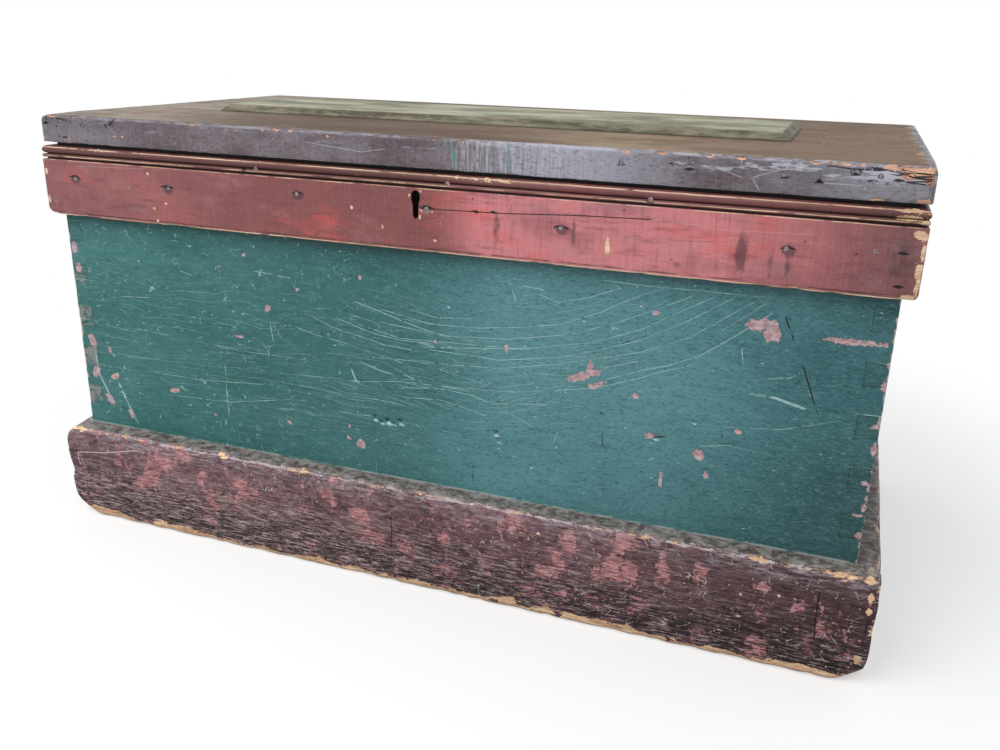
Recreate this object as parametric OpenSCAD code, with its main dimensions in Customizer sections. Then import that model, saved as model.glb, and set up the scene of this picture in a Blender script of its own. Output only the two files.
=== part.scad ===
// Painted trunk: a dovetailed pine chest with a moulded band, a plinth and a framed lid.
// X runs to the right, Y to the back and Z up; the origin is on the floor under the middle.

/* [Case] */
// Length of the case, end to end
case_l = 914; // [640:1:1200]
// Depth of the case, front to back
case_d = 476; // [380:1:640]
// Height of the case boards
case_h = 432; // [330:1:560]
// Thickness of the case boards
case_t = 20; // [18:0.5:26]
// Height of a dovetail pin at its wide end
pin_w = 24.5; // [16:0.5:32]
// Wished distance from pin to pin
pin_pitch = 51; // [44:1:80]
// How much each sloping side of a pin draws in towards the corner
pin_slope = 2.6; // [1:0.1:4]

/* [Bottom] */
// Number of bottom boards
bottom_n = 3; // [2:1:5]
// Thickness of the bottom boards
bottom_t = 18; // [12:0.5:24]
// Air under the bottom boards
floor_gap = 26; // [18:1:40]
// Side of the glue blocks in the plinth's corners
block_w = 40; // [25:1:70]
// Air under the glue blocks
block_gap = 3; // [1:0.5:10]

/* [Plinth] */
// Height of the plinth
plinth_h = 120; // [100:1:170]
// Thickness of the plinth boards
plinth_t = 23; // [18:0.5:30]
// Rounding of the plinth's upper outer edge
plinth_top_r = 7; // [2:0.5:12]
// Rounding of the plinth's lower outer edge
plinth_low_r = 6; // [2:0.5:10]
// Height of a plinth dovetail pin at its wide end
plinth_pin_w = 21; // [14:0.5:26]
// Height of the upper plinth pin's middle above the floor
plinth_pin_z = 77.5; // [66:0.5:84]
// Distance between the two plinth pins
plinth_pin_pitch = 45; // [34:1:50]
// Width worn off each lower corner
wear_w = 24; // [8:1:34]
// Height worn off each lower corner
wear_h = 44; // [12:1:60]

/* [Band] */
// Height of the moulded band round the case
band_h = 78; // [66:1:110]
// Thickness of the band
band_t = 12; // [10:0.5:18]
// Bare case wood between the band and the case's upper edge
band_drop = 14; // [12:0.5:24]
// Radius of the band's large bead
bead_r = 4.4; // [3:0.1:5.5]
// Radius of the band's small bead
small_bead_r = 1.9; // [1:0.1:3]
// Width of the quirk between the beads
quirk_w = 0.6; // [0.4:0.1:1.5]
// Width of the groove under the small bead
groove_w = 1.8; // [1:0.1:3]
// Depth of the quirk and the groove
bead_d = 4; // [2:0.1:5]

/* [Lid] */
// Thickness of the lid's frame
lid_t = 20; // [18:0.5:28]
// Width of the lid's end stiles
stile_w = 118; // [80:1:160]
// Width of the lid's front and back rails
rail_w = 148; // [100:1:170]
// Depth of the grooves in the lid's rails and stiles
panel_groove_d = 10; // [6:0.5:14]
// Thickness of the tongues in those grooves
tongue_t = 7; // [5:0.5:9]
// Height of the tongues above the lid's underside
tongue_z = 6; // [4:0.5:8]
// Height of the raised panel above the frame
panel_rise = 9; // [4:0.5:14]
// Width of the panel's bevel
bevel_w = 9.5; // [5:0.5:20]
// Height of the panel's underside above the lid's underside
panel_inset = 4; // [2:0.5:5]
// Gap between the panel's shoulders and the frame
panel_gap = 0.5; // [0.2:0.1:1.5]
// Thickness of the rim round the lid
rim_t = 11; // [9:0.5:16]
// How far the rim hangs below the lid's underside
rim_drop = 10; // [4:0.5:11]
// Rounding of the rim's upper outer edge
rim_r = 2.5; // [1:0.5:4]
// Gap between the rim and the case's faces
rim_gap = 0.8; // [0.5:0.1:2]

/* [Hinges] */
// Length of a hinge
hinge_l = 76; // [50:1:110]
// Distance from the case's end to the middle of a hinge
hinge_inset = 175; // [100:1:220]
// Width of a leaf on its board
leaf_w = 17; // [12:0.5:17]
// Thickness of a leaf
leaf_t = 2.5; // [1.5:0.1:3]
// Outer radius of the knuckles
knuckle_r = 4.6; // [4:0.1:6]
// Radius of the hinge pins
hinge_pin_r = 2.2; // [1.5:0.1:2.8]
// Number of knuckles on a hinge
knuckle_n = 5; // [3:2:7]
// Number of screws in a leaf
leaf_screw_n = 3; // [2:1:4]

/* [Lock] */
// Width of the lock's box
lock_w = 84; // [76:1:110]
// Height of the lock, from the case's upper edge
lock_h = 66; // [64:1:90]
// Depth of the lock in its board
lock_d = 13; // [12:0.5:14]
// Thickness of the lock's plates
lock_plate_t = 2; // [1.5:0.1:2.5]
// How far the lock's plates reach past its box
lock_flange = 10; // [8:0.5:16]
// Distance from the case's upper edge down to the keyhole's upper end
keyhole_drop = 31.6; // [28:0.1:34]
// Height of the keyhole
keyhole_h = 28; // [20:0.5:30]
// Width of the keyhole's upper part
keyhole_w = 9.4; // [7:0.1:12]
// Width of the keyhole's lower slot
keyslot_w = 5.8; // [4:0.1:6.5]
// Height of the bolt's bar
bolt_h = 10; // [7:0.5:12]
// Thickness of the bolt
bolt_t = 4; // [3:0.1:4.5]
// Travel of the bolt
bolt_throw = 9; // [7:0.5:10]
// Distance between the two lugs of the link plate
lug_pitch = 36; // [34:1:38]
// Thickness of a lug
lug_t = 4; // [3:0.1:5]
// Width of a lug, front to back
lug_w = 8; // [7.5:0.1:8.2]

/* [Lift handles] */
// Distance from the case's upper edge down to the handle's pivot
handle_drop = 170; // [140:1:200]
// Length of the handle's back plate
handle_plate_l = 132; // [124:1:180]
// Height of the handle's back plate
handle_plate_h = 78; // [72:1:110]
// Thickness of the handle's back plate
handle_plate_t = 2; // [1.5:0.1:3]
// Distance from the back plate's end to the middle of an eye lug
eye_inset = 19.5; // [17:0.5:26]
// Width of an eye lug
eye_w = 9; // [6:0.5:12]
// Outer radius of an eye lug
eye_r = 4.5; // [4.4:0.1:5.2]
// Radius of the bail's rod
bail_r = 3.9; // [3:0.1:4.2]
// Length of the bail from its pivot to the middle of its grip
bail_l = 48; // [36:1:56]
// Bend radius of the bail's corners
bail_bend_r = 11; // [8:0.5:14]
// Radius of the bail's pivots
bail_pivot_r = 2.6; // [2:0.1:3]

/* [Nails and screws] */
// Radius of a nail's shank
nail_r = 1.3; // [1:0.1:1.8]
// Radius of a nail's head
nail_head_r = 2.6; // [2:0.1:3.4]
// Thickness of a nail's head
nail_head_t = 0.9; // [0.6:0.1:1.5]
// Depth of a nail's head below the paint
nail_sink = 0.5; // [0.2:0.1:1]
// Length of a nail in the board behind
nail_grip = 5.5; // [4:0.5:6]
// Length of a plinth or bottom nail in the board behind
long_nail_grip = 15; // [10:0.5:17]
// Length of the screws
screw_l = 14; // [10:0.5:16]
// Radius of a screw's shank
screw_r = 1.7; // [1.3:0.1:2.1]
// Radius of a screw's head
screw_head_r = 3.4; // [3:0.1:3.8]

/* [Fits] */
// Clearance round the pins, pivots, nails and screws
fit_gap = 0.05; // [0.03:0.01:0.09]
// Gap between hinge knuckles, and between other moving faces
side_gap = 0.3; // [0.2:0.05:0.6]

/* [Hidden] */
$fn = 48;
over = 1;
front = 0;
right = 1;
back = 2;
left = 3;
half_l = case_l / 2;
half_d = case_d / 2;
case_z = floor_gap + bottom_t;
case_top = case_z + case_h;
band_top = case_top - band_drop;
band_z = band_top - band_h;
lid_z = case_top;
lid_top = lid_z + lid_t;
lid_half_l = half_l + rim_gap;
lid_front = half_d + rim_gap;
inner_d = half_d - case_t;

// Places of the band's front nails: share of the half length, share of the band's height
band_spots = [
    [-0.931, 0.54], [-0.652, 0.53], [-0.298, 0.6], [0.026, 0.55],
    [0.33, 0.46], [0.781, 0.45], [0.94, 0.51]
];
// Places of the finer nails in the band's quirk, as shares of the half length
quirk_spots = [-0.403, 0.075, 0.512];
// Places of the rim's front nails: share of the half length, share of the lid's thickness
rim_spots = [
    [-0.889, 0.5], [-0.813, 0.57], [-0.35, 0.48], [0.063, 0.6],
    [0.448, 0.4], [0.761, 0.35], [0.93, 0.52]
];
// Even rows of nails: how many
band_back_n = 7;
band_end_n = 4;
rim_end_n = 4;
plinth_long_n = 5;
plinth_end_n = 3;
bottom_long_n = 5;
// Even rows of nails: how far the first stands from the corner
band_nail_inset = 45;
rim_nail_inset = 45;
plinth_nail_inset = 90;
bottom_nail_inset = 110;
bottom_end_share = 0.25;
band_nail_z = band_h / 2;
plinth_nail_z = (case_z + plinth_h) / 2;
nail_point = 3;
screw_point = 4;
slot_w = 0.8;
slot_d = 0.8;

hinge_x = half_l - hinge_inset;
hinge_y = half_d + side_gap + knuckle_r;
screw_head_h = screw_head_r - screw_r;
knuckle_w = (hinge_l - (knuckle_n - 1) * side_gap) / knuckle_n;
pin_head_r = hinge_pin_r + 1.4;
pin_head_t = 1.5;
leaf_screw_inset = 10;

lock_wall = 1.5;
lock_half_w = lock_w / 2;
flange_mid = lock_half_w + lock_flange / 2;
lock_face = inner_d + lock_d;
lock_low = case_top - lock_h;
lock_room = lock_d - lock_wall - lock_plate_t;
lock_mid = inner_d + lock_plate_t + lock_room / 2;
selvage_d = lock_d + 2;
cap_screw_z = [12, 42];
key_z = case_top - keyhole_drop - keyhole_w / 2;
lug_l = 16;
lug_room = 1;
eye_room = 0.5;
eye_h = 7.2;
eye_wall = 1.6;
eye_z = case_top - lug_l + eye_wall + eye_h / 2;
finger_h = 5.4;
finger_gap = 0.6;
finger_l = bolt_throw;
arm_w = 6;
bolt_z = case_top - lug_l - side_gap - bolt_h;
link_end = 20;
link_half_w = lug_pitch / 2 + lug_t / 2 + link_end;
link_screw_inset = 6;
talon_w = 12;
talon_h = 4;
drill_pin_r = 1.6;
drill_pin_gap = 1;
spring_t = 0.8;
spring_r = 40;
spring_run = 24;
spring_gap = 0.1;

handle_z = case_top - handle_drop;
pivot_x = half_l + handle_plate_t + eye_r;
arm_gap = 0.9;
eye_pitch = handle_plate_l - 2 * eye_inset;
bail_half_w = eye_pitch / 2 - eye_w / 2 - arm_gap - bail_r;
pivot_over = 1.5;
pivot_end = eye_pitch / 2 + eye_w / 2 + pivot_over;
plate_over = 16;
plate_top = handle_z + plate_over;
handle_screw_inset = 8;

// Pins of the case's corners: low edge, high edge, draw-in of the low side, draw-in of the high side
case_pin_n = max(3, round((case_h - pin_w) / pin_pitch) + 1);
case_pin_step = (case_h - pin_w) / (case_pin_n - 1);
case_pins = [for (k = [0:case_pin_n - 1]) let (z = case_z + k * case_pin_step)
    [z, z + pin_w, k == 0 ? 0 : pin_slope, k == case_pin_n - 1 ? 0 : pin_slope]];
plinth_pins = [for (z = [plinth_pin_z, plinth_pin_z - plinth_pin_pitch])
    [z - plinth_pin_w / 2, z + plinth_pin_w / 2, pin_slope, pin_slope]];

// Paints and metals
module green_paint() { color([0.11, 0.25, 0.23]) children(); }
module red_paint() { color([0.42, 0.13, 0.12]) children(); }
module maroon_paint() { color([0.30, 0.12, 0.12]) children(); }
module brown_paint() { color([0.27, 0.18, 0.16]) children(); }
module olive_paint() { color([0.27, 0.29, 0.19]) children(); }
module bare_pine() { color([0.62, 0.45, 0.28]) children(); }
module dark_iron() { color([0.16, 0.14, 0.13]) children(); }
module lock_brass() { color([0.55, 0.42, 0.20]) children(); }

// A box between two corners
module block(low, high) {
    translate(low) cube(high - low);
}

// Turns a thing made for the front to another side: front, right, back or left
module on_side(side) {
    rotate([0, 0, 90 * side]) children();
}

// Stands an outline in X and Z up and makes it as thick as y0 to y1
module upright(y0, y1) {
    translate([0, y1, 0]) rotate([90, 0, 0]) linear_extrude(y1 - y0) children();
}

// Runs an outline in Y and Z from -run to run along X
module along_x(run) {
    translate([-run, 0, 0]) rotate([90, 0, 90]) linear_extrude(2 * run) children();
}

// Outline of one dovetail pin at the right-hand corner, in X and Z
module pin_outline(pin, x_in, x_out) {
    polygon([
        [x_in, pin[0]], [x_out, pin[0] + pin[2]],
        [x_out, pin[1] - pin[3]], [x_in, pin[1]]
    ]);
}

// A board along X, with the sockets of the dovetail pins cut out of both ends
module tail_board(x_out, y_out, thick, z0, z1, pins) {
    difference() {
        block([-x_out, -y_out, z0], [x_out, -y_out + thick, z1]);
        for (end = [0, 1], pin = pins) mirror([end, 0, 0]) {
            upright(-y_out - over, -y_out + thick + over) pin_outline(pin, x_out - thick, x_out);
        }
    }
}

// The board at the right-hand end, whose pins fill those sockets
module pin_board(x_out, y_out, thick, z0, z1, pins) {
    block([x_out - thick, -y_out + thick, z0], [x_out, y_out - thick, z1]);
    for (end = [0, 1], pin = pins) mirror([0, end, 0]) {
        upright(-y_out, -y_out + thick) pin_outline(pin, x_out - thick, x_out);
    }
}

// A nail standing in the XY plane, its head at the top and its point down
module nail(reach) {
    translate([0, 0, -nail_sink - nail_head_t]) cylinder(r = nail_head_r, h = nail_head_t, $fn = 24);
    shank = reach - nail_sink - nail_head_t - nail_point;
    translate([0, 0, -reach + nail_point]) cylinder(r = nail_r, h = shank, $fn = 16);
    translate([0, 0, -reach]) cylinder(r1 = nail_r / 3, r2 = nail_r, h = nail_point, $fn = 16);
}

// The hole that takes such a nail
module nail_hole(reach) {
    hole_head = nail_sink + nail_head_t;
    translate([0, 0, -hole_head]) cylinder(r = nail_head_r + fit_gap, h = hole_head + over, $fn = 24);
    translate([0, 0, -reach - fit_gap]) cylinder(r = nail_r + fit_gap, h = reach, $fn = 16);
}

// A countersunk screw with a slot, its head flush at the top and its point down
module screw() {
    shank = screw_l - screw_point - screw_head_h;
    difference() {
        union() {
            translate([0, 0, -screw_head_h]) {
                cylinder(r1 = screw_r, r2 = screw_head_r, h = screw_head_h, $fn = 24);
            }
            translate([0, 0, -screw_l + screw_point]) cylinder(r = screw_r, h = shank, $fn = 24);
            translate([0, 0, -screw_l]) cylinder(r1 = screw_r / 4, r2 = screw_r, h = screw_point, $fn = 24);
        }
        translate([-screw_head_r, -slot_w / 2, -slot_d]) cube([2 * screw_head_r, slot_w, slot_d + over]);
    }
}

// The hole that takes such a screw
module screw_hole() {
    head_r = screw_head_r + fit_gap;
    shank_r = screw_r + fit_gap;
    translate([0, 0, -screw_head_h]) cylinder(r1 = shank_r, r2 = head_r, h = screw_head_h, $fn = 24);
    cylinder(r = head_r, h = over, $fn = 24);
    translate([0, 0, -screw_l - fit_gap]) cylinder(r = shank_r, h = screw_l, $fn = 24);
}

// Places along an even row of n things from -run to run
function spread(n, run) = [for (k = [0:n - 1]) n == 1 ? 0 : -run + 2 * run * k / (n - 1)];

// Puts nails into a face that lies dist from the middle on the given side
module nail_spots(side, dist, spots) {
    on_side(side) for (spot = spots) {
        translate([spot[0], -dist, spot[1]]) rotate([90, 0, 0]) children();
    }
}

// Nails of the band: hand-placed on the front, in even rows elsewhere
module band_places() {
    front_spots = concat(
        [for (s = band_spots) [s[0] * half_l, band_z + s[1] * band_h]],
        [for (s = quirk_spots) [s * half_l, band_top - 2 * bead_r - quirk_w / 2]]);
    back_spots = [for (x = spread(band_back_n, half_l - band_nail_inset)) [x, band_z + band_nail_z]];
    end_spots = [for (y = spread(band_end_n, half_d - band_nail_inset)) [y, band_z + band_nail_z]];
    nail_spots(front, half_d + band_t, front_spots) children();
    nail_spots(back, half_d + band_t, back_spots) children();
    for (side = [right, left]) nail_spots(side, half_l + band_t, end_spots) children();
}

// Nails of the lid's rim
module rim_places() {
    front_spots = [for (s = rim_spots) [s[0] * half_l, lid_z + s[1] * lid_t]];
    nail_spots(front, lid_front + rim_t, front_spots) children();
    end_spots = [for (y = spread(rim_end_n, half_d - rim_nail_inset)) [y, lid_z + lid_t / 2]];
    for (side = [right, left]) nail_spots(side, lid_half_l + rim_t, end_spots) children();
}

// Nails of the plinth
module plinth_places() {
    long_spots = [for (x = spread(plinth_long_n, half_l - plinth_nail_inset)) [x, plinth_nail_z]];
    end_spots = [for (y = spread(plinth_end_n, half_d - plinth_nail_inset)) [y, plinth_nail_z]];
    for (side = [front, back]) nail_spots(side, half_d + plinth_t, long_spots) children();
    for (side = [right, left]) nail_spots(side, half_l + plinth_t, end_spots) children();
}

// Nails of the bottom boards, driven up into the case's lower edges
module bottom_places() {
    edge_x = half_l - case_t / 2;
    edge_y = half_d - case_t / 2;
    board_w = case_d / bottom_n;
    end_spots = [for (x = [-edge_x, edge_x], k = [0:bottom_n - 1], s = [-1, 1] * bottom_end_share)
        [x, -half_d + (k + 0.5 + s) * board_w]];
    side_spots = [for (y = [-edge_y, edge_y], x = spread(bottom_long_n, half_l - bottom_nail_inset)) [x, y]];
    for (spot = concat(end_spots, side_spots)) {
        translate([spot[0], spot[1], floor_gap]) rotate([180, 0, 0]) children();
    }
}

// Keyhole outline in X and Z
module keyhole_outline() {
    r = keyhole_w / 2;
    slot_r = keyslot_w / 2;
    low = case_top - keyhole_drop - keyhole_h;
    translate([0, key_z]) circle(r);
    translate([-r, key_z - r]) square([2 * r, r]);
    translate([0, key_z - r]) circle(r);
    translate([-slot_r, low + slot_r]) square([2 * slot_r, key_z - low - slot_r]);
    translate([0, low + slot_r]) circle(slot_r);
}

// Both hinges: the children are made round the pin's axis, at X = 0
module at_hinge(x) {
    translate([x, hinge_y, case_top]) children();
}

// Screws of one leaf, seen from the pin's axis; up is 1 for the lid and -1 for the case
module leaf_screw_places(up) {
    for (x = spread(leaf_screw_n, hinge_l / 2 - leaf_screw_inset)) {
        translate([x, -knuckle_r - side_gap - leaf_w / 2, 0]) rotate([up > 0 ? 180 : 0, 0, 0]) children();
    }
}

// Bed of one leaf in the edge of its board
module leaf_bed(up) {
    half = hinge_l / 2 + fit_gap;
    y_in = -knuckle_r - side_gap - leaf_w - fit_gap;
    block([-half, y_in, up > 0 ? -over : -leaf_t], [half, 0, up > 0 ? leaf_t : over]);
}

// One leaf with its knuckles; first is the number of its first knuckle
module hinge_leaf(up, first) {
    face = -knuckle_r - side_gap;
    z0 = up > 0 ? 0 : -leaf_t;
    difference() {
        union() {
            block([-hinge_l / 2, face - leaf_w, z0], [hinge_l / 2, face, z0 + leaf_t]);
            for (k = [first:2:knuckle_n - 1]) {
                x0 = -hinge_l / 2 + k * (knuckle_w + side_gap);
                block([x0, face, z0], [x0 + knuckle_w, 0, z0 + leaf_t]);
                translate([x0, 0, 0]) rotate([0, 90, 0]) cylinder(r = knuckle_r, h = knuckle_w);
            }
        }
        translate([-hinge_l, 0, 0]) rotate([0, 90, 0]) cylinder(r = hinge_pin_r + fit_gap, h = 2 * hinge_l);
        leaf_screw_places(up) screw_hole();
    }
}

module hinge_pin() {
    translate([-hinge_l / 2, 0, 0]) rotate([0, 90, 0]) cylinder(r = hinge_pin_r, h = hinge_l);
    for (end = [0, 1]) mirror([end, 0, 0]) {
        translate([hinge_l / 2, 0, 0]) rotate([0, 90, 0]) cylinder(r = pin_head_r, h = pin_head_t);
    }
}

// Screws of the lock: four through its cap, two through its selvage
module cap_screw_places() {
    for (x = [-1, 1], z = cap_screw_z) {
        translate([x * flange_mid, -inner_d, lock_low + z]) rotate([-90, 0, 0]) children();
    }
}

module selvage_screw_places() {
    for (x = [-1, 1]) {
        translate([x * flange_mid, -lock_mid, case_top]) children();
    }
}

// Screws of the link plate, driven up into the lid
module link_screw_places() {
    for (x = [-1, 1]) {
        translate([x * (link_half_w - link_screw_inset), -lock_mid, lid_z]) rotate([180, 0, 0]) children();
    }
}

// Space of the lock in the front board
module lock_bed() {
    wide = lock_half_w + lock_flange;
    cap_low = lock_low - lock_flange / 2;
    block([-wide, -inner_d - lock_plate_t, cap_low], [wide, -inner_d + over, case_top + over]);
    block([-lock_half_w, -lock_face, lock_low], [lock_half_w, -inner_d + over, case_top + over]);
    selvage_z = case_top - lock_plate_t;
    block([-wide, -inner_d - selvage_d, selvage_z], [wide, -inner_d + over, case_top + over]);
    cap_screw_places() screw_hole();
    selvage_screw_places() screw_hole();
}

// Case of four dovetailed boards
module case_front() {
    green_paint() difference() {
        tail_board(half_l, half_d, case_t, case_z, case_top, case_pins);
        upright(-half_d - over, -inner_d + over) keyhole_outline();
        lock_bed();
        band_places() nail_hole(band_t + nail_grip);
        plinth_places() nail_hole(plinth_t + long_nail_grip);
        bottom_places() nail_hole(bottom_t + long_nail_grip);
    }
}

module case_back() {
    green_paint() difference() {
        rotate([0, 0, 180]) tail_board(half_l, half_d, case_t, case_z, case_top, case_pins);
        for (x = [-hinge_x, hinge_x]) at_hinge(x) {
            leaf_bed(-1);
            leaf_screw_places(-1) screw_hole();
        }
        band_places() nail_hole(band_t + nail_grip);
        plinth_places() nail_hole(plinth_t + long_nail_grip);
        bottom_places() nail_hole(bottom_t + long_nail_grip);
    }
}

module case_end() {
    difference() {
        pin_board(half_l, half_d, case_t, case_z, case_top, case_pins);
        band_places() nail_hole(band_t + nail_grip);
        plinth_places() nail_hole(plinth_t + long_nail_grip);
        bottom_places() nail_hole(bottom_t + long_nail_grip);
        handle_screw_places() screw_hole();
    }
}

module case_left() { green_paint() mirror([1, 0, 0]) case_end(); }
module case_right() { green_paint() case_end(); }

// Bottom boards side by side, each a solid of its own
module bottom_boards() {
    board_w = case_d / bottom_n;
    bare_pine() difference() {
        for (k = [0:bottom_n - 1]) {
            y0 = -half_d + k * board_w;
            y1 = y0 + board_w - (k == bottom_n - 1 ? 0 : side_gap);
            block([-half_l, y0, floor_gap], [half_l, y1, case_z]);
        }
        bottom_places() nail_hole(bottom_t + long_nail_grip);
    }
}

module glue_blocks() {
    bare_pine() for (x = [0, 1], y = [0, 1]) mirror([x, 0, 0]) mirror([0, y, 0]) {
        translate([half_l, half_d, block_gap]) linear_extrude(floor_gap - block_gap) {
            polygon([[0, 0], [-block_w, 0], [0, -block_w]]);
        }
    }
}

// Section of the whole plinth with its two rounded edges
module plinth_section(half) {
    low = plinth_low_r;
    high = plinth_top_r;
    translate([-half + low, 0]) square([2 * (half - low), low]);
    translate([-half, low]) square([2 * half, plinth_h - low - high]);
    translate([-half + high, plinth_h - high]) square([2 * (half - high), high]);
    for (s = [-1, 1]) {
        translate([s * (half - low), low]) circle(low);
        translate([s * (half - high), plinth_h - high]) circle(high);
    }
}

// What the wear takes off the lower corner at the right-hand front
module worn_corner() {
    corner = [half_l + plinth_t, -half_d - plinth_t, 0];
    normal = [1 / wear_w, -1 / wear_w, -1 / wear_h];
    tilt = acos(normal[2] / norm(normal));
    turn = atan2(normal[1], normal[0]);
    big = 6 * wear_h;
    translate(corner - [wear_w, 0, 0]) rotate([0, tilt, turn]) translate([-big / 2, -big / 2, 0]) cube(big);
}

// Keeps what lies within the rounded plinth and outside its worn corners
module plinth_shape() {
    difference() {
        intersection() {
            children();
            along_x(case_l) plinth_section(half_d + plinth_t);
            on_side(right) along_x(case_l) plinth_section(half_l + plinth_t);
        }
        for (x = [0, 1], y = [0, 1]) mirror([x, 0, 0]) mirror([0, y, 0]) worn_corner();
        plinth_places() nail_hole(plinth_t + long_nail_grip);
    }
}

module plinth_long() {
    tail_board(half_l + plinth_t, half_d + plinth_t, plinth_t, 0, plinth_h, plinth_pins);
}

module plinth_short() {
    pin_board(half_l + plinth_t, half_d + plinth_t, plinth_t, 0, plinth_h, plinth_pins);
}

module plinth_front() { maroon_paint() plinth_shape() plinth_long(); }
module plinth_back() { maroon_paint() plinth_shape() rotate([0, 0, 180]) plinth_long(); }
module plinth_left() { maroon_paint() plinth_shape() mirror([1, 0, 0]) plinth_short(); }
module plinth_right() { maroon_paint() plinth_shape() plinth_short(); }

// Section of the band in Y and Z: its face lies at -band_t and its back at 0
module band_section() {
    flat_h = band_h - 2 * bead_r - quirk_w - 2 * small_bead_r - groove_w;
    small_z = flat_h + groove_w + small_bead_r;
    translate([-band_t, 0]) square([band_t, flat_h]);
    translate([-band_t + bead_d, 0]) square([band_t - bead_d, band_h]);
    for (bead = [[small_z, small_bead_r], [band_h - bead_r, bead_r]]) {
        translate([-band_t + bead[1], bead[0]]) circle(bead[1]);
        translate([-band_t + bead[1], bead[0] - bead[1]]) square([band_t - bead[1], 2 * bead[1]]);
    }
}

// Plan of a strip on the front: mitred at one end or at both
module strip_plan(run_left, run_right, thick, mitre_left, mitre_right) {
    polygon([
        [-run_left, 0], [run_right, 0],
        [run_right + mitre_right * thick, -thick], [-run_left - mitre_left * thick, -thick]
    ]);
}

// The band along one side, from mitre to mitre
module band(side, dist, run) {
    on_side(side) translate([0, -dist, band_z]) intersection() {
        along_x(run + band_t + over) band_section();
        linear_extrude(band_h) strip_plan(run, run, band_t, 1, 1);
    }
}

module band_front() {
    red_paint() difference() {
        band(front, half_d, half_l);
        upright(-half_d - band_t - over, -half_d + over) keyhole_outline();
        band_places() nail_hole(band_t + nail_grip);
    }
}

module band_back() {
    red_paint() difference() {
        band(back, half_d, half_l);
        band_places() nail_hole(band_t + nail_grip);
    }
}

module band_left() {
    red_paint() difference() {
        band(left, half_l, half_d);
        band_places() nail_hole(band_t + nail_grip);
    }
}

module band_right() {
    red_paint() difference() {
        band(right, half_l, half_d);
        band_places() nail_hole(band_t + nail_grip);
    }
}

// Space of the tongues that stiles and panel put into the rails and stiles
module tongue_groove(low, high) {
    block([low[0], low[1], lid_z + tongue_z], [high[0], high[1], lid_z + tongue_z + tongue_t + side_gap]);
}

module lid_rail_front() {
    inner = -lid_front + rail_w;
    brown_paint() difference() {
        block([-lid_half_l, -lid_front, lid_z], [lid_half_l, inner, lid_top]);
        tongue_groove([-lid_half_l - over, inner - panel_groove_d], [lid_half_l + over, inner + over]);
        link_bed();
        rim_places() nail_hole(rim_t + long_nail_grip);
    }
}

module lid_rail_back() {
    inner = half_d - rail_w;
    brown_paint() difference() {
        block([-lid_half_l, inner, lid_z], [lid_half_l, half_d, lid_top]);
        tongue_groove([-lid_half_l - over, inner - over], [lid_half_l + over, inner + panel_groove_d]);
        for (x = [-hinge_x, hinge_x]) at_hinge(x) {
            leaf_bed(1);
            leaf_screw_places(1) screw_hole();
        }
        rim_places() nail_hole(rim_t + long_nail_grip);
    }
}

// A stile between the rails, with a stub tongue at each end
module lid_stile() {
    inner = lid_half_l - stile_w;
    low = -lid_front + rail_w;
    high = half_d - rail_w;
    past = 2 * panel_groove_d;
    difference() {
        union() {
            block([inner, low, lid_z], [lid_half_l, high, lid_top]);
            block([inner, low - panel_groove_d + side_gap, lid_z + tongue_z],
                [lid_half_l, high + panel_groove_d - side_gap, lid_z + tongue_z + tongue_t]);
        }
        tongue_groove([inner - over, low - past], [inner + panel_groove_d, high + past]);
        rim_places() nail_hole(rim_t + long_nail_grip);
    }
}

module lid_stile_left() { brown_paint() mirror([1, 0, 0]) lid_stile(); }
module lid_stile_right() { brown_paint() lid_stile(); }

// Section of the raised panel across a width of 2 * half
module panel_section(half) {
    polygon([
        [-half, lid_z + panel_inset], [half, lid_z + panel_inset], [half, lid_top],
        [half - bevel_w, lid_top + panel_rise], [-half + bevel_w, lid_top + panel_rise], [-half, lid_top]
    ]);
}

module lid_panel() {
    half_x = lid_half_l - stile_w - panel_gap;
    low = -lid_front + rail_w;
    high = half_d - rail_w;
    middle = (low + high) / 2;
    half_y = (high - low) / 2 - panel_gap;
    tongue = panel_groove_d;
    olive_paint() translate([0, middle, 0]) {
        intersection() {
            along_x(half_x) panel_section(half_y);
            upright(-half_y, half_y) panel_section(half_x);
        }
        block([-half_x - tongue, -half_y - tongue, lid_z + tongue_z],
            [half_x + tongue, half_y + tongue, lid_z + tongue_z + tongue_t]);
    }
}

// Section of the rim in Y and Z: its face lies at -rim_t and its back at 0
module rim_section() {
    high = lid_t + rim_drop;
    translate([-rim_t, 0]) square([rim_t, high - rim_r]);
    translate([-rim_t + rim_r, 0]) square([rim_t - rim_r, high]);
    translate([-rim_t + rim_r, high - rim_r]) circle(rim_r);
}

// The rim along one side: mitred where it meets another, square at the back
module rim(side, dist, run_left, run_right, mitre_left, mitre_right) {
    on_side(side) translate([0, -dist, lid_z - rim_drop]) intersection() {
        along_x(max(run_left, run_right) + rim_t + over) rim_section();
        linear_extrude(lid_t + rim_drop) strip_plan(run_left, run_right, rim_t, mitre_left, mitre_right);
    }
}

module rim_front() {
    brown_paint() difference() {
        rim(front, lid_front, lid_half_l, lid_half_l, 1, 1);
        rim_places() nail_hole(rim_t + long_nail_grip);
    }
}

module rim_left() {
    brown_paint() difference() {
        rim(left, lid_half_l, half_d, lid_front, 0, 1);
        rim_places() nail_hole(rim_t + long_nail_grip);
    }
}

module rim_right() {
    brown_paint() difference() {
        rim(right, lid_half_l, lid_front, half_d, 1, 0);
        rim_places() nail_hole(rim_t + long_nail_grip);
    }
}

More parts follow.
